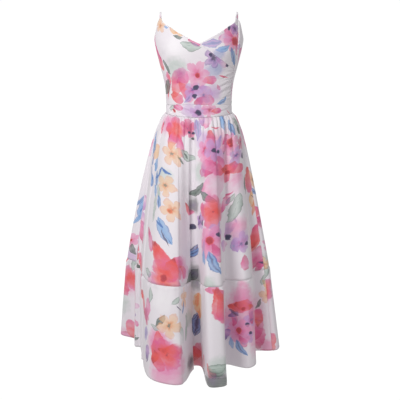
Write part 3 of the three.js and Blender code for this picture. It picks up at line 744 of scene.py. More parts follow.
tierMotifs = [
    ("pinkWash", 370, -760, 110, 0), ("pinkWash", 400, -850, 90, 0), ("pinkWash", 460, -800, 110, 90),
    ("pinkWash", 300, -800, 60, 0), ("pinkWash", 470, -930, 90, 0), ("lilacWash", 330, -850, 70, 0),
    ("pinkWash", -344, -872, 70, 80), ("pinkWash", -300, -892, 63, 0), ("pinkWash", -330, -990, 63, 0),
    ("pinkWash", 376, -728, 50, 0), ("pinkWash", 368, -840, 55, 0), ("pinkWash", 532, -842, 39, 90),
    ("pinkWash", 570, -1004, 47, 0), ("darkWash", 116, -992, 50, 0), ("darkWash", -144, -976, 31, 80),
    ("paleWash", -326, -688, 56, 80), ("peachBloom", -208, -684, 44, 15), ("sageLeaf", -268, -690, 21, 45),
    ("tealLeaf", -184, -798, 54, 78), ("sageWash", -148, -780, 45, 80), ("tealLeaf", -242, -822, 37, 110),
    ("darkLeaf", -332, -770, 35, 58), ("sageLeaf", -358, -804, 25, -15),
    ("peachBloom", -296, -786, 54, -12), ("navyStroke", -254, -720, 18, -42),
    ("pinkWash", -340, -858, 72, 0), ("pinkFade", -338, -952, 62, -88),
    ("salmonPetal", -336, -866, 57, -80), ("pinkWash", -272, -944, 69, 0), ("poppy", -304, -904, 70, 25),
    ("coralPetal", -286, -882, 47, 15), ("coralPetal", -342, -936, 47, -70),
    ("paleWash", -254, -842, 33, 40), ("pinkWash", -300, -996, 77, 0), ("darkWash", -72, -646, 39, 10),
    ("peachPetal", -62, -738, 60, 84), ("orangeLeaf", -78, -716, 32, 80), ("navyLeaf", -86, -824, 55, 86),
    ("coralPetal", -80, -978, 67, -64), ("darkWash", -156, -970, 45, 70), ("pinkPetal", 104, -642, 33, -5),
    ("coralPetal", 148, -712, 73, -80), ("salmonPetal", 132, -660, 33, -30),
    ("sageWash", 122, -942, 53, 20), ("sageLeaf", 114, -960, 38, 10), ("darkLeaf", 118, -998, 50, -8),
    ("coralPetal", 84, -962, 36, -62), ("pinkFade", 378, -676, 62, -85), ("pinkWash", 374, -710, 72, 0),
    ("coralPetal", 342, -744, 42, 5), ("coralPetal", 392, -748, 42, 175), ("redDot", 376, -754, 10, 0),
    ("purpleLeaf", 332, -774, 25, -30), ("lilacPetal", 324, -822, 31, -120),
    ("lilacBloom", 410, -810, 38, 10), ("lilacBloom", 386, -884, 33, 30), ("navyDot", 392, -828, 10, 0),
    ("pinkBloom", 352, -856, 61, 10), ("redDot", 354, -852, 15, 0), ("navyDot", 400, -866, 8, 0),
    ("magentaPetal", 368, -898, 31, -60), ("skyLeaf", 322, -916, 27, -80), ("blueLeaf", 360, -932, 43, -60),
    ("peachBloom", 588, -752, 44, 20), ("sageLeaf", 574, -674, 27, 60), ("peachPetal", 584, -698, 29, -60),
    ("darkLeaf", 542, -790, 23, 60), ("coralPetal", 536, -858, 47, 88), ("magentaPetal", 536, -956, 57, 88),
    ("magentaStroke", 574, -1014, 39, 0), ("pinkWash", 580, -998, 49, 0), ("navyDot", -666, -802, 14, 0),
    ("lilacPetal", -642, -818, 33, 20), ("purpleBloom", -658, -862, 30, 0),
    ("pinkPetal", -636, -898, 22, -50), ("darkLeaf", -650, -980, 37, 5),
    ("coralPetal", -498, -732, 53, -52), ("sageLeaf", -390, -680, 32, 80),
    ("magentaBloom", -432, -776, 39, 0), ("darkDot", -472, -776, 9, 0), ("periLeaf", -424, -850, 38, 82),
    ("purplePetal", -404, -928, 39, 84), ("coralPetal", 130, -700, 67, -85),
    ("coralPetal", 376, -738, 47, 0), ("magentaPetal", 332, -808, 31, 80),
    ("purplePetal", 328, -782, 28, 20), ("magentaPetal", 530, -918, 55, 88),
    ("coralPetal", -300, -892, 43, -10), ("peachPetal", -74, -728, 47, 80),
    ("orangeLeaf", -70, -772, 31, 70), ("navyLeaf", -86, -824, 43, 80), ("coralPetal", -84, -954, 47, 70),
    ("magentaPetal", -558, -688, 55, 85), ("pinkPetal", -418, -750, 55, 75),
    ("magentaBloom", -452, -774, 24, 0), ("periLeaf", -442, -852, 31, 80),
    ("purplePetal", -418, -930, 31, 85), ("darkLeaf", -658, -972, 35, 10), ("darkLeaf", 98, -1016, 50, -5),
    ("sageLeaf", 114, -946, 43, 5), ("navyDot", -664, -798, 10, 80), ("purpleBloom", -668, -862, 20, 0),
    ("redDot", -472, -776, 8, 0), ("blueSprig", -224, -720, 28, 80), ("tealLeaf", -184, -786, 35, 100),
    ("coralPetal", -352, -902, 50, 80), ("coralPetal", 190, -706, 60, -88),
    ("magentaPetal", 420, -790, 44, 80), ("coralPetal", 346, -752, 46, 0),
    ("magentaPetal", 470, -880, 60, 88), ("purplePetal", 300, -880, 30, 70),
    ("darkLeaf", -20, -1002, 30, 10), ("darkLeaf", 60, -1004, 38, 170), ("darkWash", 96, -996, 54, 0),
    ("coralPetal", -10, -960, 40, 80), ("sageLeaf", -190, -830, 36, 70), ("coralPetal", -350, -900, 50, 80),
]
repeatMotifs = [
    ("pinkWash", 120, -60, 90, 0), ("pinkWash", -240, 50, 80, 0), ("pinkWash", 262, -110, 70, 0),
    ("pinkWash", 252, 180, 78, 0), ("sageWash", -90, -150, 60, 0), ("lilacWash", -150, -50, 55, 0),
    ("pinkWash", 20, 40, 60, 0), ("pinkWash", -250, 150, 87, 0), ("sageWash", 210, 60, 72, 20),
    ("lilacWash", 20, -180, 72, 0),
    ("darkLeaf", -190, 120, 46, 28), ("sageLeaf", -150, 90, 48, -24), ("palePetal", -230, 170, 65, 14),
    ("coralPetal", -270, 80, 55, -68), ("salmonPetal", -205, 40, 50, 60), ("poppy", -240, 30, 63, 20),
    ("redDot", -240, 30, 10, 0), ("skyLeaf", -60, 60, 55, -70), ("blueLeaf", -95, 90, 36, 80),
    ("tealLeaf", -30, 130, 41, 100), ("peachBloom", -40, 180, 49, 10), ("peachBloom", -10, 100, 44, 40),
    ("sageLeaf", -75, 200, 34, 140), ("lilacPetal", 90, -10, 38, 60), ("lilacBloom", 60, -40, 41, 20),
    ("navyDot", 60, -40, 10, 0), ("pinkBloom", 110, -60, 54, 10), ("redDot", 110, -60, 13, 0),
    ("lilacBloom", 160, -30, 39, -15), ("navyDot", 160, -30, 9, 0), ("magentaPetal", 135, -105, 35, -60),
    ("periLeaf", 85, -100, 31, -110), ("skyLeaf", 110, -130, 29, -82), ("blueLeaf", 150, -140, 43, -62),
    ("navyLeaf", 70, -85, 26, 62), ("coralPetal", 230, 160, 58, -64), ("poppy", 270, 200, 61, 30),
    ("darkLeaf", 200, 190, 48, 36), ("salmonPetal", 230, -160, 50, 84), ("magentaPetal", 255, -120, 50, 80),
    ("coralPetal", 285, -60, 55, 95), ("sageLeaf", 290, -170, 53, 76), ("peachBloom", -110, -150, 46, -12),
    ("tealLeaf", -70, -190, 46, 78), ("darkLeaf", -150, -170, 34, 58), ("navyStroke", -95, -110, 18, -42),
    ("purpleBloom", -170, -60, 32, 0), ("lilacPetal", -145, -40, 32, 30),
    ("magentaBloom", 5, 25, 28, 0), ("coralPetal", 26, 62, 38, 40), ("pinkPetal", 48, 28, 34, -20),
    ("peachBloom", 130, 190, 42, 20), ("tealLeaf", 168, 216, 32, 40), ("blueSprig", 62, 172, 20, 60),
    ("blueLeaf", 92, 148, 34, -50), ("palePetal", -218, -150, 48, -30), ("lilacBloom", -296, -122, 38, 0),
    ("navyDot", -296, -122, 8, 0), ("skyLeaf", -268, -166, 32, -60), ("pinkBloom", -12, -90, 42, 0),
    ("redDot", -12, -90, 9, 0), ("darkLeaf", 26, -124, 34, -40), ("coralPetal", -104, 14, 36, -70),
    ("pinkPetal", -126, 36, 28, 30), ("blueSprig", -72, -20, 18, 20), ("skyLeaf", -54, 6, 30, 80),
    ("peachPetal", 176, 104, 30, -30), ("sageLeaf", 148, 84, 32, 20),
]


def threadFor(name):
    material = bpy.data.materials.new(name)
    material.use_nodes = True
    shader = Shader(material.node_tree)
    twist = shader.noise(shader.node("ShaderNodeTexCoord", None, None, "Object"), 900, 3)
    color = shader.blend(dyes["ground"], dyes["blush"], twist * 0.5)
    sockets = {"Base Color": color, "Roughness": twist * 0.2 + 0.35}
    shade = shader.node("ShaderNodeBsdfPrincipled", None, sockets)
    shader.node("ShaderNodeOutputMaterial", None, {"Surface": shade}, None)
    return material


thread = threadFor("polyester_thread")
overPrint = printFor("crepe_bodice_over", overMotifs)
underPrint = printFor("crepe_bodice_under", underMotifs)
skirtPrint = printFor("crepe_skirt_front", skirtMotifs)
tierPrint = printFor("crepe_tier_front", tierMotifs)
repeatPrint = printFor("crepe_repeat", repeatMotifs, printing["repeat"])
print("print made")


# Bodice

def through(corners, longest):
    # from each corner to the next in even steps, none longer than this
    out = [corners[0]]
    for a, b in zip(corners[:-1], corners[1:]):
        count = max(1, math.ceil((b - a) / longest))
        out += [mix(a, b, k / count) for k in range(1, count + 1)]
    return np.array(out, float)


bodice = {
    "rows": 96,
    "step": 1.1,  # degrees between columns
    "backStep": 1.265,
    "rightTop": -80,  # where the side seams reach the upper edge
    "leftTop": 66.5,
    "underInset": 2.4,  # how far the lower front lies inside the upper one
    "seamTurn": 0.7,  # how far the cloth rolls in at a seam
    "seamWide": 1.8,
    "edgeFold": (0.5, 3.5, 2.6),  # the turned edge: how proud, its middle and half width
    "edgeWall": (0.5, 4),  # how much thicker the cloth is there, and over what width
}
# Folds drawn into the left side seam: height at the seam, reach, depth, slant, half width
ruches = [
    (-203, 46, 4.2, 0.20, 4.3),
    (-214, 84, 6.0, 0.27, 4.8),
    (-229, 60, 4.5, 0.22, 3.8),
    (-240, 96, 6.5, 0.29, 5.0),
    (-255, 70, 5.5, 0.30, 4.0),
    (-266, 104, 6.2, 0.25, 5.2),
    (-281, 58, 4.8, 0.21, 4.0),
    (-291, 88, 5.8, 0.24, 4.6),
    (-305, 64, 4.0, 0.16, 4.1),
]
# The same seam gathers the back panel a little
backRuches = [
    (-208, 30, 1.8, -0.15, 4.2),
    (-233, 42, 2.4, -0.20, 4.8),
    (-258, 34, 2.2, -0.18, 4.4),
    (-284, 44, 2.4, -0.22, 5.0),
    (-304, 28, 1.6, -0.12, 4.4),
]
ruche = {
    "sway": 2.2,  # how far a fold wanders up and down, and over what run
    "swayRun": 13,
    "spread": 0.7,  # how much wider it gets by its end
    "atSeam": 0.55,  # its depth at the seam itself, and where it is full
    "fullFrom": 14,
    "groove": 0.52,
    "ridge": 0.55,  # the ridge beside it: height, place and half width
    "ridgeAt": 1.15,
    "ridgeWide": 0.7,
}
bustCreases = [  # soft drags in the cloth: direction, height, length, turn in degrees, depth, half width
    (-58, -150, 60, 34, 1.6, 9), (-47, -176, 66, 28, 1.3, 10), (-22, -196, 60, -24, 0.9, 9),
    (6, -168, 46, -32, 0.9, 7), (26, -232, 70, -16, 1.2, 9), (-12, -262, 74, 12, 1.0, 10),
    (-40, -300, 60, 8, 1.2, 8), (14, -300, 70, -7, 1.2, 8), (40, -120, 40, 40, 0.9, 9),
    (128, -170, 70, 22, 1.4, 10), (160, -240, 90, -10, 1.2, 12), (196, -196, 80, 12, 1.2, 11),
    (222, -262, 70, -20, 1.4, 10), (236, -160, 60, -34, 1.3, 9), (178, -300, 110, 3, 1.5, 9),
]


def ruching(deg, z, rows):
    away = np.abs(leftSeamAt(z) - deg) * perDegree["ruche"]
    lift = np.zeros(np.broadcast(deg, z).shape)
    for seamZ, reach, depth, slant, wide in rows:
        line = seamZ - slant * away + ruche["sway"] * np.sin(away / ruche["swayRun"] + seamZ)
        grow = wide * (1 + away / reach * ruche["spread"])
        fade = (1 - ease(away / reach)) * mix(ruche["atSeam"], 1, ease(away / ruche["fullFrom"]))
        ridge = bell(z - line - grow * ruche["ridgeAt"], grow * ruche["ridgeWide"])
        lift -= depth * fade * bell(z - line, grow * ruche["groove"])
        lift += ruche["ridge"] * depth * fade * ridge
    return lift


def drags(deg, z):
    lift = np.zeros(np.broadcast(deg, z).shape)
    for atDeg, atZ, length, turn, depth, wide in bustCreases:
        along, across = creaseFrame(turned(deg - atDeg) * perDegree["drag"], z - atZ, turn)
        lift -= depth * bell(along, length / 2) * bell(across, wide * 0.5)
    return lift


def bodicePanel(name, material, tops, edge, fromSeam, toSeam, inset=0.0, rows=(), middle=0):
    topZ = edge(tops)
    share = (tops - fromSeam(topZ)) / (toSeam(topZ) - fromSeam(topZ))
    share[0] = 0
    share[-1] = 1
    waist = body["waistTop"][0]
    low = waistTop(mix(float(fromSeam(waist)), float(toSeam(waist)), share))
    down = np.linspace(0, 1, bodice["rows"] + 1)[:, None]
    z = mix(topZ[None], low[None], down)
    deg = mix(fromSeam(z), toSeam(z), share[None])
    out = bodyNormal(deg, z)
    fromEdge = down * (topZ - low)[None]
    toSide = np.minimum(deg - fromSeam(z), toSeam(z) - deg) * perDegree["side"]
    proud = -inset + drags(deg, z) + ruching(deg, z, rows)
    roll = bell(toSide, bodice["seamWide"]) + bell(z - low[None], bodice["seamWide"])
    high, at, wide = bodice["edgeFold"]
    proud = proud - bodice["seamTurn"] * np.clip(roll, 0, 1) + high * bell(fromEdge - at, wide)
    outer = bodyPoint(deg, z) + out * proud[..., None]
    flat = np.stack([roundDistance(deg, z, middle), z], -1)
    more, wide = bodice["edgeWall"]
    piece = clothPiece(name, outer, out, flat, material, wall * (1 + more * bell(fromEdge, wide)))
    level = stitch["fromEdge"] / (topZ - low) * bodice["rows"]
    return piece, stitchRow(name, onGrid(outer, level), onGrid(out, level))


over, overSewn = bodicePanel(
    "bodice_over_front",
    overPrint,
    through([bodice["rightTop"], -cornerEnd, -cornerStart, -50, 0, 20, bodice["leftTop"]], bodice["step"]),
    lambda deg: np.where(deg <= 0, upperEdge(deg), crossingAt(deg)),
    rightSeamAt,
    leftSeamAt,
    rows=ruches,
)
place(over, "printed_crepe", "bodice_over")

under, underSewn = bodicePanel(
    "bodice_under_front",
    underPrint,
    through([-57, -20, 0, 50, cornerStart, cornerEnd, bodice["leftTop"]], bodice["step"]),
    lambda deg: np.where(deg >= 0, upperEdge(deg), crossingAt(-deg)),
    rightSeamAt,
    leftSeamAt,
    inset=bodice["underInset"],
)
place(under, "printed_crepe", "bodice_under")

back, backSewn = bodicePanel(
    "bodice_back_panel",
    repeatPrint,
    through([bodice["leftTop"], 90, 180, 270, 360 + bodice["rightTop"]], bodice["backStep"]),
    upperEdge,
    leftSeamAt,
    lambda z: 360 + rightSeamAt(z),
    rows=backRuches,
    middle=180,
)
place(back, "printed_crepe", "bodice_back")
print("bodice made")


# Waistband

band = {
    "rows": 34,
    "columns": 170,
    "turn": 0.8,  # how far its edges roll in, and over what widths at the seams and at the sides
    "turnWide": 1.6,
    "endWide": 2,
    "proud": 0.5,
    "ridge": 0.7,  # the ridge beside a pleat: height and half width
    "ridgeWide": 0.8,
    "flattened": 0.7,  # how much the pleats lose at the edges
}
bandPleats = [  # direction, height from the middle, length, turn in degrees, depth, half width
    (-66, 6, 44, -34, 3.5, 5), (-54, -6, 48, -30, 3.8, 5), (-42, 8, 52, -26, 3.2, 5),
    (-33, -8, 46, -22, 3.0, 5), (-20, 3, 50, -14, 2.2, 6), (-4, -7, 50, -6, 1.6, 6),
    (16, 5, 56, 6, 1.4, 7), (38, -4, 50, 9, 1.6, 6), (60, 6, 44, 12, 1.9, 6), (78, -6, 36, 10, 1.8, 5),
    (-80, -2, 36, -22, 2.4, 5), (112, 4, 50, 8, 1.9, 6), (140, -5, 60, -6, 1.6, 7),
    (168, 5, 60, 4, 1.5, 7), (196, -3, 60, -5, 1.6, 7), (224, 6, 54, 9, 1.8, 6), (250, -5, 46, -10, 1.9, 6),
]


def waistband(name, material, fromDeg, toDeg, middle):
    deg = np.linspace(fromDeg, toDeg, band["columns"] + 1)[None]
    down = np.linspace(0, 1, band["rows"] + 1)[:, None]
    top = waistTop(deg)
    low = waistBottom(deg)
    z = mix(top, low, down)
    half = (top + low) / 2
    proud = np.zeros(z.shape)
    for atDeg, atZ, length, turn, depth, wide in bandPleats:
        along, across = creaseFrame(turned(deg - atDeg) * perDegree["pleat"], z - half - atZ, turn)
        along = bell(along, length / 2)
        proud = proud - depth * along * bell(across, wide * 0.5)
        proud = proud + band["ridge"] * depth * along * bell(across - wide, wide * band["ridgeWide"])
    edge = bell(z - top, band["turnWide"]) + bell(z - low, band["turnWide"])
    fromEnds = (deg - fromDeg) * perDegree["bandEnd"], (toDeg - deg) * perDegree["bandEnd"]
    side = bell(fromEnds[0], band["endWide"]) + bell(fromEnds[1], band["endWide"])
    proud = proud * (1 - band["flattened"] * np.clip(edge, 0, 1))
    proud = proud - band["turn"] * np.clip(edge + side, 0, 1) + band["proud"]
    out = bodyNormal(deg + 0 * z, z)
    out[..., 2] = 0
    out = unit(out)
    outer = bodyPoint(deg, z) + out * proud[..., None]
    flat = np.stack([roundDistance(deg, z, middle), z + 0 * deg], -1)
    return clothPiece(name, outer, out, flat, material)


bandFront = waistband("waistband_front_panel", overPrint, -90, 90, 0)
place(bandFront, "printed_crepe", "waistband_front")
bandBack = waistband("waistband_back_panel", repeatPrint, 90, 270, 180)
place(bandBack, "printed_crepe", "waistband_back")
print("waistband made")


# Skirt

skirt = {
    "length": 1021,  # down the cloth, from the waistband to the hem
    "tierAt": 0.62,  # share of the length
    "tierDip": 20,  # how much lower the tier seam is at the sides
    "hemRound": (344, 330, 322),  # half width, front, back
    "sway": 7,  # how far it swings to its right, halfway down
    "foldGrowth": 1.02,  # power by which the folds open on the way down
    "crestDrop": 0.3,  # how round a fold's crest is
    "columns": 720,
    "upperRows": 108,
    "tierRows": 66,
    "topWidth": 1150,  # width of cloth gathered into the waistband
    "seamWidth": 2450,  # width of the upper skirt at the tier seam
    "tierWidth": 3200,
    "seamTurn": 0.6,  # how far the cloth rolls in at the gathered seams, and at the side seams
    "seamWide": 1.8,
    "sideTurn": 1.1,
    "hemBand": 38,
    "hemProud": 0.35,
    "hemWall": (0.5, 0.35, 1.2),  # thicker in the hem, thinner at its very edge, over this width
}
flare = [
    (0, 0), (0.02, 0.07), (0.051, 0.137), (0.084, 0.198), (0.15, 0.288), (0.284, 0.441), (0.457, 0.617),
    (0.637, 0.779), (0.826, 0.901), (1, 1),
]
folds = [  # valley, depth, floor, direction at the waist, crest, reach, width
    (-1.8, 196, 24, -13, 11, 386, 62), (29, 226, 22, 46, 45, 313, 48), (66, 262, 20, 82, 75, 355, 50),
    (93, 268, 24, 105, 105, 338, 54), (120, 252, 26, 127, 134, 352, 66), (150, 236, 24, 153, 163, 371, 60),
    (177, 214, 26, 179, 191, 377, 68), (206, 242, 24, 204, 218, 346, 54), (231, 260, 26, 227, 243, 341, 50),
    (255, 272, 20, 246, 266, 351, 40), (273, 286, 14, 262, 282, 287, 26), (287, 264, 16, 276, 339, 388, 132),
]
# Creases that start at the waistband: direction there, depth, half width in mm, and the share of the
# skirt's length where they end
gathers = [
    (-84, 4.2, 5, 0.20), (-75, 3.2, 4, 0.12), (-66, 5.2, 5, 0.26), (-58, 3.0, 4, 0.09), (-51, 4.8, 5, 0.22),
    (-43, 3.2, 4, 0.11), (-36, 5.2, 5, 0.30), (-29, 2.8, 4, 0.08), (-23, 4.4, 5, 0.17),
    (-13, 6.4, 5.5, 0.60), (-6, 3.8, 4, 0.15), (2, 2.6, 4, 0.07), (9, 4.6, 5, 0.24), (17, 3.0, 4, 0.10),
    (24, 5.0, 5, 0.20), (31, 2.8, 4, 0.09), (38, 4.4, 5, 0.15), (46, 6.4, 5.5, 0.58), (53, 3.4, 4, 0.12),
    (60, 4.8, 5, 0.25), (68, 3.0, 4, 0.10), (75, 4.4, 5, 0.18), (82, 5.6, 5, 0.5), (91, 3.2, 4, 0.11),
    (98, 4.6, 5, 0.22), (105, 5.6, 5, 0.5), (113, 3.0, 4, 0.09), (120, 4.8, 5, 0.19), (127, 5.8, 5, 0.52),
    (136, 3.4, 4, 0.12), (143, 5.0, 5, 0.27), (153, 5.8, 5, 0.5), (161, 3.0, 4, 0.10), (168, 4.8, 5, 0.2),
    (179, 6.2, 5.5, 0.55), (187, 3.2, 4, 0.1), (195, 4.8, 5, 0.24), (204, 5.8, 5, 0.5), (211, 3.2, 4, 0.12),
    (219, 4.6, 5, 0.18), (227, 5.8, 5, 0.5), (236, 3.4, 4, 0.12), (246, 5.4, 5, 0.45), (254, 3.2, 4, 0.1),
    (262, 5.2, 5, 0.4), (269, 3.4, 4, 0.12),
]
crease = {
    "wander": 3,  # how far a crease strays sideways, and its turns down the skirt
    "wanderTurns": 17,
    "steady": 0.1,  # shares of the skirt's length: where it has its full stray and its full width
    "wideFrom": 0.25,
    "spread": 1.5,
    "fade": 0.8,
    "groove": 0.55,
    "ridge": 0.32,  # the ridges beside it: height and place
    "ridgeAt": 1.5,
    "fine": (0.9, 0.025),  # fine gathers at the waistband: depth, and the share over which they fade
    "soft": (1.2, 0.2, 0.16),  # soft waves lower down: depth, middle and half width
}
# Where the cloth folds over itself, higher on its right: direction at the waistband, drift at the
# hem, depth at the waistband, halfway and at the hem, how far each side stays lifted or sunk
edges = [
    (-13, -26, 4.6, 8.5, 10.0, 24, 16), (46, -12, 4.2, 8.0, 9.5, 22, 16), (-36, 10, 1.6, 2.6, 2.0, 18, 12),
    (24, 6, 1.4, 2.4, 2.4, 16, 14), (82, -8, 2.2, 5.0, 7.0, 20, 18), (-72, 4, 2.0, 4.0, 5.0, 20, 14),
    (105, -10, 2.4, 5.5, 7.0, 24, 18), (127, 0, 2.0, 5.0, 7.0, 24, 18), (153, -12, 2.4, 5.5, 7.5, 24, 18),
    (179, -10, 2.8, 6.0, 8.0, 26, 18), (204, 8, 2.2, 5.0, 7.0, 24, 18), (227, -8, 2.4, 5.5, 7.0, 22, 18),
    (246, 6, 2.2, 5.0, 6.5, 22, 16), (136, 8, 1.4, 2.2, 2.0, 16, 12), (191, 6, 1.4, 2.4, 2.0, 16, 12),
]
edgeFold = {
    "sway": (4, 9),  # how far its line strays at the hem, and its turns
    "step": (0.8, 0.25),  # how sharp it is, and what wide columns add
    "reach": (0.5, 0.7),  # reach at the waistband, and what is added by the hem
}
tierGathers = {
    "wide": (3.2, 16, 62),  # depth, where they are full, and how fast they fade, down from the seam
    "fine": (2.0, 5, 34),
    "puff": (2.2, 9, 70),  # the gathered edge stands out below the seam
}


def hemLine():
    points = []

    def add(deg, reach, sideways):
        turn = math.radians(deg)
        points.append((
            reach * math.sin(turn) + sideways * math.cos(turn),
            -reach * math.cos(turn) + sideways * math.sin(turn),
        ))

    for valley, depth, floor, _, crest, reach, wide in folds:
        shoulder = wide / 2
        add(valley, depth, -floor / 2)
        add(valley, depth, floor / 2)
        add(crest, reach - skirt["crestDrop"] * shoulder, -shoulder)
        add(crest, reach, 0)
        add(crest, reach - skirt["crestDrop"] * shoulder, shoulder)
    return np.array(points)


def hangColumns():
    # each column's share of the way round, its direction at the waist and its place on the hem
    perPoint = 40
    perFold = 5
    line = curveThrough(*(np.roll(hemLine(), k, 0) for k in (1, 0, -1, -2)), perPoint)
    line = np.concatenate([line, line[:1]])
    run = runOf(line)
    starts = [i * perFold * perPoint for i in range(len(folds))]
    hung = [(run[start] + run[start + perPoint]) / 2 / run[-1] for start in starts]
    degs = [fold[3] for fold in folds]
    shares = [hung[-1] - 1, *hung, hung[0] + 1, hung[1] + 1]
    waistDegAt = reader(shares, [degs[-1] - 360, *degs, degs[0] + 360, degs[1] + 360])
    share = np.arange(skirt["columns"]) / skirt["columns"]
    return share, waistDegAt(share), sampled(line, run, share * run[-1])


columnShare, waistDeg, hemPoints = hangColumns()


def runColumns():
    # each column keeps the cloth's length as it hangs outwards
    steps = 200
    steepest = 0.9
    flareAt = reader(*zip(*flare))
    half, front, behind = skirt["hemRound"]
    turn = np.arctan2(hemPoints[:, 0], -hemPoints[:, 1])
    deep = np.where(np.cos(turn) > 0, front, behind)
    ring = np.stack([half * np.sin(turn), -deep * np.cos(turn)], -1)
    top = bodyPoint(waistDeg, waistBottom(waistDeg))
    down = np.linspace(0, 1, steps + 1)[:, None, None]
    flat = top[None, :, :2] + flareAt(down) * (ring - top[:, :2])[None]
    flat = flat + down ** skirt["foldGrowth"] * (hemPoints - ring)[None]
    flat = flat - np.array([skirt["sway"], 0]) * np.sin(np.pi * down)
    step = skirt["length"] / steps
    away = np.minimum(np.linalg.norm(np.diff(flat, axis=0), axis=2), step * steepest)
    drop = np.concatenate([np.zeros((1, skirt["columns"])), np.cumsum(np.sqrt(step**2 - away**2), axis=0)])
    return np.concatenate([flat, (top[None, :, 2] - drop)[..., None]], -1)


runs = runColumns()


def skirtPoints(level):
    row = np.clip(level, 0, 1) * (len(runs) - 1)
    i = np.minimum(row.astype(int), len(runs) - 2)
    s = (row - i)[..., None]
    column = np.arange(runs.shape[1])[None]
    return runs[i, column] * (1 - s) + runs[i + 1, column] * s


def outwards(points):
    across = np.roll(points, -2, axis=1) - np.roll(points, 2, axis=1)
    return unit(np.stack([across[..., 1], -across[..., 0], 0 * across[..., 0]], -1))


def surfaceNormals(points):
    across = np.roll(points, -1, axis=1) - np.roll(points, 1, axis=1)
    return unit(np.cross(np.gradient(points, axis=0), across))


def spacingOf(points):
    # how far apart the columns are in each row
    ring = np.linalg.norm(np.roll(points, -1, axis=1) - points, axis=2).sum(axis=1)
    return ring[:, None] / skirt["columns"]


dip = skirt["tierDip"] * np.sin(np.radians(waistDeg)) ** 2 / skirt["length"]
unwrapped = np.degrees(np.unwrap(np.radians(np.append(waistDeg, waistDeg[0]))))


def waves(count, *strays):
    # folds all the way round, spaced unevenly: how far they stray, how often, and from where
    turn = 2 * np.pi * columnShare
    angle = count * turn
    for reach, often, start in strays:
        angle = angle + reach * np.sin(often * turn + start)
    return np.sin(angle)[None]


def upperRows():
    # closer rows below the waistband
    s = np.linspace(0, 1, skirt["upperRows"] + 1)
    return skirt["tierAt"] * (0.42 * s + 0.58 * s**2 - 0.10 * np.sin(np.pi * s) * s**3)


def tierShares():
    # closer rows below the tier seam
    s = np.linspace(0, 1, skirt["tierRows"] + 1)
    return skirt["tierAt"] + (1 - skirt["tierAt"]) * (0.45 * s + 0.55 * s**1.7)


def columnsFrom(deg):
    # columns away from the one that starts in this direction at the waistband
    count = skirt["columns"]
    at = np.interp((deg - unwrapped[0]) % 360 + unwrapped[0], unwrapped, np.arange(count + 1))
    return ((np.arange(count) - at + count / 2) % count - count / 2)[None]


def gatherLift(level, spacing):
    lift = np.zeros((len(level), skirt["columns"]))
    for deg, depth, wide, end in gathers:
        stray = crease["wander"] * np.sin(level * crease["wanderTurns"] + deg)
        x = columnsFrom(deg) * spacing - stray * ease(level / crease["steady"])
        grow = wide * (1 + crease["spread"] * ease(level / crease["wideFrom"]))
        fade = (1 - ease(level / end)) ** crease["fade"]
        beside = bell(x - crease["ridgeAt"] * grow, grow) + bell(x + crease["ridgeAt"] * grow, grow)
        lift -= depth * fade * bell(x, grow * crease["groove"])
        lift += crease["ridge"] * depth * fade * beside
    depth, reach = crease["fine"]
    lift += depth * waves(73, (2.1, 9, 0), (1.2, 4, 1)) * np.exp(-level / reach)
    depth, middle, wide = crease["soft"]
    lift += depth * waves(19, (1.4, 4, 0)) * bell(level - middle, wide) * ease(level / 0.05)
    return lift


def edgeLift(level, spacing):
    lift = np.zeros((len(level), skirt["columns"]))
    sway, turns = edgeFold["sway"]
    soft, softer = edgeFold["step"]
    least, more = edgeFold["reach"]
    for deg, drift, atWaist, halfway, atHem, high, low in edges:
        x = columnsFrom(deg) * spacing - drift * level + sway * np.sin(level * turns + deg) * level
        depth = reader([0, 0.5, 1], [atWaist, halfway, atHem])(level)
        over = 1 / (1 + np.exp(np.clip(x / (soft + softer * spacing), -30, 30)))
        reach = np.where(x < 0, high, low) * (least + more * level)
        lift += depth * (2 * over - 1) * np.exp(-np.abs(x) / reach)
    return lift


def nearest(deg):
    return int(np.argmin(np.abs(turned(waistDeg - deg))))


leftColumn = nearest(90)
rightColumn = nearest(270)
quarter = skirt["columns"] // 4
frontMiddle = float(np.interp(0, waistDeg[:quarter], np.arange(quarter)))
halves = {  # first and last column, and the one at the middle
    "front": (rightColumn - skirt["columns"], leftColumn, frontMiddle),
    "back": (leftColumn, rightColumn, float(nearest(180))),
}


def skirtHalf(name, half, material, points, widths, down, thickness=wall, hemBand=None):
    first, last, middle = halves[half]
    index = np.arange(first, last + 1)
    part = np.take(points, index % skirt["columns"], axis=1)
    out = np.take(surfaceNormals(points), index % skirt["columns"], axis=1)
    away = np.minimum(index - first, last - index)[None]
    part = part - out * (skirt["sideTurn"] * bell(away, 0.8))[..., None]  # rolled in at the side seams
    lengthDown = down * skirt["length"]
    u = (index - middle)[None] / skirt["columns"] * widths[:, None]
    v = np.broadcast_to(-lengthDown[:, None], u.shape)
    piece = clothPiece(f"{name}_{half}_panel", part, out, np.stack([u, v], -1), material, thickness, hemBand)
    place(piece, "printed_crepe", f"{name}_{half}")
    if hemBand is None:
        return piece
    level = np.interp(skirt["length"] - skirt["hemBand"], lengthDown, np.arange(len(lengthDown)))
    return piece, stitchRow(piece.name, onGrid(part, level), onGrid(out, level))


def makeUpper():
    down = upperRows()
    points = skirtPoints(down[:, None] * (1 + dip / skirt["tierAt"])[None])
    spacing = spacingOf(points)
    top = down[:, None] * skirt["length"]
    low = (skirt["tierAt"] - down[:, None]) * skirt["length"]
    tuck = bell(top, skirt["seamWide"]) + bell(low, skirt["seamWide"])
    lift = gatherLift(down[:, None], spacing) + edgeLift(down[:, None], spacing)
    points = points + outwards(points) * (lift - skirt["seamTurn"] * tuck)[..., None]
    widths = mix(skirt["topWidth"], skirt["seamWidth"], down / skirt["tierAt"])
    prints = {"front": skirtPrint, "back": repeatPrint}
    return [skirtHalf("skirt", half, prints[half], points, widths, down) for half in prints]


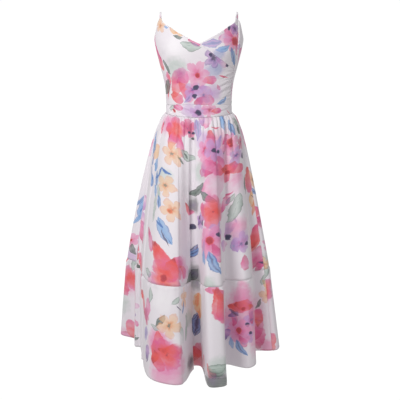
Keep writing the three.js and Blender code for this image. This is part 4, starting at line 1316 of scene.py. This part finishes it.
def makeTier():
    down = tierShares()
    past = (down - skirt["tierAt"])[:, None] * skirt["length"]
    level = mix(skirt["tierAt"] + dip[None], 1, (down[:, None] - skirt["tierAt"]) / (1 - skirt["tierAt"]))
    points = skirtPoints(level)

    def fading(depth, full, reach):
        return depth * ease(past / full) * np.exp(-past / reach)

    lift = fading(*tierGathers["wide"]) * waves(38, (1.6, 5, 0))
    lift += fading(*tierGathers["fine"]) * waves(83, (2.2, 7, 2))
    lift += fading(*tierGathers["puff"])
    fromHem = (1 - down)[:, None] * skirt["length"]
    hemBand = 1 - ease((fromHem - skirt["hemBand"]) / 2)
    lift = lift + edgeLift(down[:, None], spacingOf(points))
    lift = lift - skirt["seamTurn"] * bell(past, skirt["seamWide"]) + skirt["hemProud"] * hemBand
    points = points + outwards(points) * lift[..., None]
    widths = np.full(len(down), float(skirt["tierWidth"]))
    more, less, wide = skirt["hemWall"]
    thickness = wall * (1 + more * hemBand) * (1 - less * bell(fromHem, wide))
    prints = {"front": tierPrint, "back": repeatPrint}
    return [
        skirtHalf("tier", half, prints[half], points, widths, down, thickness, hemBand[:, 0])
        for half in prints
    ]


skirtFront, skirtBack = makeUpper()
(tierFront, frontHemSewn), (tierBack, backHemSewn) = makeTier()
print("skirt made")


# Straps

strap = {
    "wide": 5.6,
    "thick": 1.9,
    "wall": 0.5,
    "tuck": 12,  # how far its ends go down inside the bodice, how far in, and where they come out
    "inset": 3.4,
    "rise": 3,
    "frontDeg": 61.35,
    "backDeg": 128,
    "route": [(138.2, -34, -6), (139.5, -10, 0), (142, 16, -7), (144, 40, -36), (140, 55, -78)],
    "steps": 150,
    "sides": 16,
    "turnBy": (0.3, 0.45),  # it turns with the body up to here in front, and from here behind
    "round": (0.55, 0.7),  # powers that flatten the round section, across and through
    "dent": (0.22, 0.35),  # a little hollow along its middle: depth and half width
}


def strapLine(points):
    # even steps along a smooth curve through the points
    points = np.array(points, float)
    points = np.concatenate([[2 * points[0] - points[1]], points, [2 * points[-1] - points[-2]]])
    line = curveThrough(points[:-3], points[1:-2], points[2:-1], points[3:], 60)
    line = np.concatenate([line, points[-2:-1]])
    run = runOf(line)
    return sampled(line, run, np.linspace(0, run[-1], strap["steps"] + 1)), run[-1]


def strapPiece(name, side, frontInset):
    ends = []
    for deg, inset in ((strap["frontDeg"], frontInset + strap["inset"]), (strap["backDeg"], strap["inset"])):
        edge = float(upperEdge(deg))
        levels = (edge - strap["tuck"], edge + strap["rise"])
        low, high = (bodyPoint(deg, z) - bodyNormal(deg, z) * inset for z in levels)
        along = bodyPoint(deg + 0.5, edge) - bodyPoint(deg - 0.5, edge)
        along[2] = 0
        ends.append((low, high, unit(along)))
    front, behind = ends
    line, length = strapLine([front[0], front[1], *strap["route"], behind[1], behind[0]])
    u = np.linspace(0, 1, strap["steps"] + 1)[:, None]
    run = unit(np.gradient(line, axis=0))
    untilFront, fromBehind = strap["turnBy"]
    across = np.tile([1.0, 0, 0], (len(line), 1))
    across = mix(across, front[2][None], 1 - ease(u / untilFront))
    across = mix(across, -behind[2][None], ease((u - fromBehind) / fromBehind))
    across = unit(across - np.sum(across * run, 1, keepdims=True) * run)
    out = np.cross(run, across)
    turn = 2 * np.pi * (np.arange(strap["sides"]) + 0.5) / strap["sides"]
    c = np.sign(np.cos(turn)) * np.abs(np.cos(turn)) ** strap["round"][0]
    s = np.sign(np.sin(turn)) * np.abs(np.sin(turn)) ** strap["round"][1]
    dent = 1 - strap["dent"][0] * bell(np.cos(turn), strap["dent"][1])
    rings = []
    for inset in (0, strap["wall"]):  # outside, then inside
        wide = across[:, None] * ((strap["wide"] / 2 - inset) * c)[None, :, None]
        thick = out[:, None] * ((strap["thick"] / 2 - inset) * s * dent)[None, :, None]
        rings.append((line[:, None] + wide + thick) * np.array([side, 1, 1]))
    count = strap["sides"]
    index = np.arange(len(line) * count).reshape(-1, count)
    after = np.roll(index, -1, axis=1)
    inner = index.size
    quads = [np.stack([index[:-1], after[:-1], after[1:], index[1:]], -1).reshape(-1, 4)]
    quads.append(quads[0][:, ::-1] + inner)
    quads.append(np.stack([after[0], index[0], index[0] + inner, after[0] + inner], -1))
    quads.append(np.stack([index[-1], after[-1], after[-1] + inner, index[-1] + inner], -1))
    quads = np.concatenate(quads)
    if side < 0:
        quads = quads[:, ::-1]
    piece = meshPiece(name, np.concatenate(rings).reshape(-1, 3) * mm, quads, repeatPrint)
    around = np.tile(np.arange(count) / count * 2 * (strap["wide"] + strap["thick"]), len(line))
    along = np.repeat(np.linspace(0, length, len(line)), count)
    layFlat(piece, np.tile(np.stack([around, -along], -1), (2, 1)))
    return piece


strapLeft = strapPiece("strap_left_tube", 1, bodice["underInset"])
place(strapLeft, "strap", "strap_left")
strapRight = strapPiece("strap_right_tube", -1, 0)
place(strapRight, "strap", "strap_right")
print("straps made")


# Camera, floor and light

view = {
    "place": (0.004, -2.060, -0.0625),
    "down": 17.78,  # degrees below level
    "lens": 47.7,
    "sensor": 36,
    "near": 0.05,
    "far": 60,
}
studio = {
    "floorZ": -1.9,
    "floorReach": 12,
    "domeRadius": 14,
    "worldStrength": 0.47,
}
lamps = [  # name, place, aim, size, power
    ("keyLight", (-1.3, -2.0, 0.8), (0, 0, -0.5), 1.0, 37),
    ("fillLight", (2.0, -2.0, -0.2), (0, 0, -0.8), 1.6, 5),
    ("backLight", (0.7, 2.7, 0.8), (0, 0, -0.6), 1.3, 24),
]

camera = bpy.data.objects.new("camera", bpy.data.cameras.new("camera"))
bpy.context.scene.collection.objects.link(camera)
camera.data.sensor_width = view["sensor"]
camera.data.lens = view["lens"]
camera.data.clip_start = view["near"]
camera.data.clip_end = view["far"]
camera.location = view["place"]
camera.rotation_euler = (math.radians(90 - view["down"]), 0, 0)
bpy.context.scene.camera = camera

paleBackdrop = bpy.data.materials.new("paleBackdrop")
paleBackdrop.use_nodes = True
pale = paleBackdrop.node_tree.nodes["Principled BSDF"].inputs
pale["Base Color"].default_value = (0, 0, 0, 1)
pale["Emission Color"].default_value = (1, 1, 1, 1)
pale["Emission Strength"].default_value = 1.0

floorMesh = bpy.data.meshes.new("floor")
reach = studio["floorReach"]
corners = [(x * reach, y * reach, studio["floorZ"]) for x, y in ((-1, -1), (1, -1), (1, 1), (-1, 1))]
floorMesh.from_pydata(corners, [], [(0, 1, 2, 3)])
floor = bpy.data.objects.new("floor", floorMesh)
bpy.context.scene.collection.objects.link(floor)
floor.data.materials.append(paleBackdrop)
bpy.ops.mesh.primitive_uv_sphere_add(segments=48, ring_count=24, radius=studio["domeRadius"])
dome = bpy.context.object
dome.name = "dome"
dome.data.materials.append(paleBackdrop)
for plain in (floor, dome):  # white to the eye, while the light comes from the world and the lamps
    plain.visible_diffuse = False
    plain.visible_glossy = False
    plain.visible_shadow = False
    plain.visible_transmission = False

world = bpy.data.worlds.new("studio")
bpy.context.scene.world = world
world.use_nodes = True
world.node_tree.nodes["Background"].inputs["Color"].default_value = (1, 1, 1, 1)
world.node_tree.nodes["Background"].inputs["Strength"].default_value = studio["worldStrength"]
bpy.context.scene.view_settings.view_transform = "Standard"

for name, location, aim, size, power in lamps:
    light = bpy.data.objects.new(name, bpy.data.lights.new(name, "AREA"))
    light.data.shape = "DISK"
    light.data.size = size
    light.data.energy = power
    light.location = location
    x, y, z = np.array(aim) - np.array(location)
    light.rotation_euler = (math.atan2(math.hypot(x, y), -z), 0, math.atan2(x, -y) + math.pi)
    bpy.context.scene.collection.objects.link(light)
print("camera, floor and lights made")

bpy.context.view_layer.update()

# What each piece was cut to, in mm, and how it is held
frontShare = (leftColumn - rightColumn + skirt["columns"]) / skirt["columns"]
upperFront = skirt["seamWidth"] * frontShare
upperBack = skirt["seamWidth"] * (1 - frontShare)
upperLong = skirt["length"] * skirt["tierAt"]
upperFill = (skirt["topWidth"] + skirt["seamWidth"]) / 2 / skirt["seamWidth"]
lowerFront = skirt["tierWidth"] * frontShare
lowerBack = skirt["tierWidth"] * (1 - frontShare)
lowerLong = skirt["length"] - upperLong
cuts = [  # piece, width, length, share of that rectangle, held, hangs from, pieces on it
    (over, 390, 360, 0.52, "hung", ["strap_right"], [overSewn]),
    (under, 350, 340, 0.56, "hung", ["strap_left"], [underSewn]),
    (back, 560, 320, 0.58, "hung", ["strap_left", "strap_right"], [backSewn]),
    (bandFront, 390, 46, 1, "hung", ["bodice_over", "bodice_under"], []),
    (bandBack, 360, 46, 1, "hung", ["bodice_back"], []),
    (skirtFront, upperFront, upperLong, upperFill, "gathered", ["waistband_front"], []),
    (skirtBack, upperBack, upperLong, upperFill, "gathered", ["waistband_back"], []),
    (tierFront, lowerFront, lowerLong, 1, "gathered", ["skirt_front"], [frontHemSewn]),
    (tierBack, lowerBack, lowerLong, 1, "gathered", ["skirt_back"], [backHemSewn]),
    (strapLeft, 15, 224, 1, "stretched", ["bodice_under", "bodice_back"], []),
    (strapRight, 15, 224, 1, "stretched", ["bodice_over", "bodice_back"], []),
]
for piece, width, length, fill, held, hangsFrom, sewn in cuts:
    size = (width * mm, length * mm)
    area = None if fill == 1 else fill * size[0] * size[1]
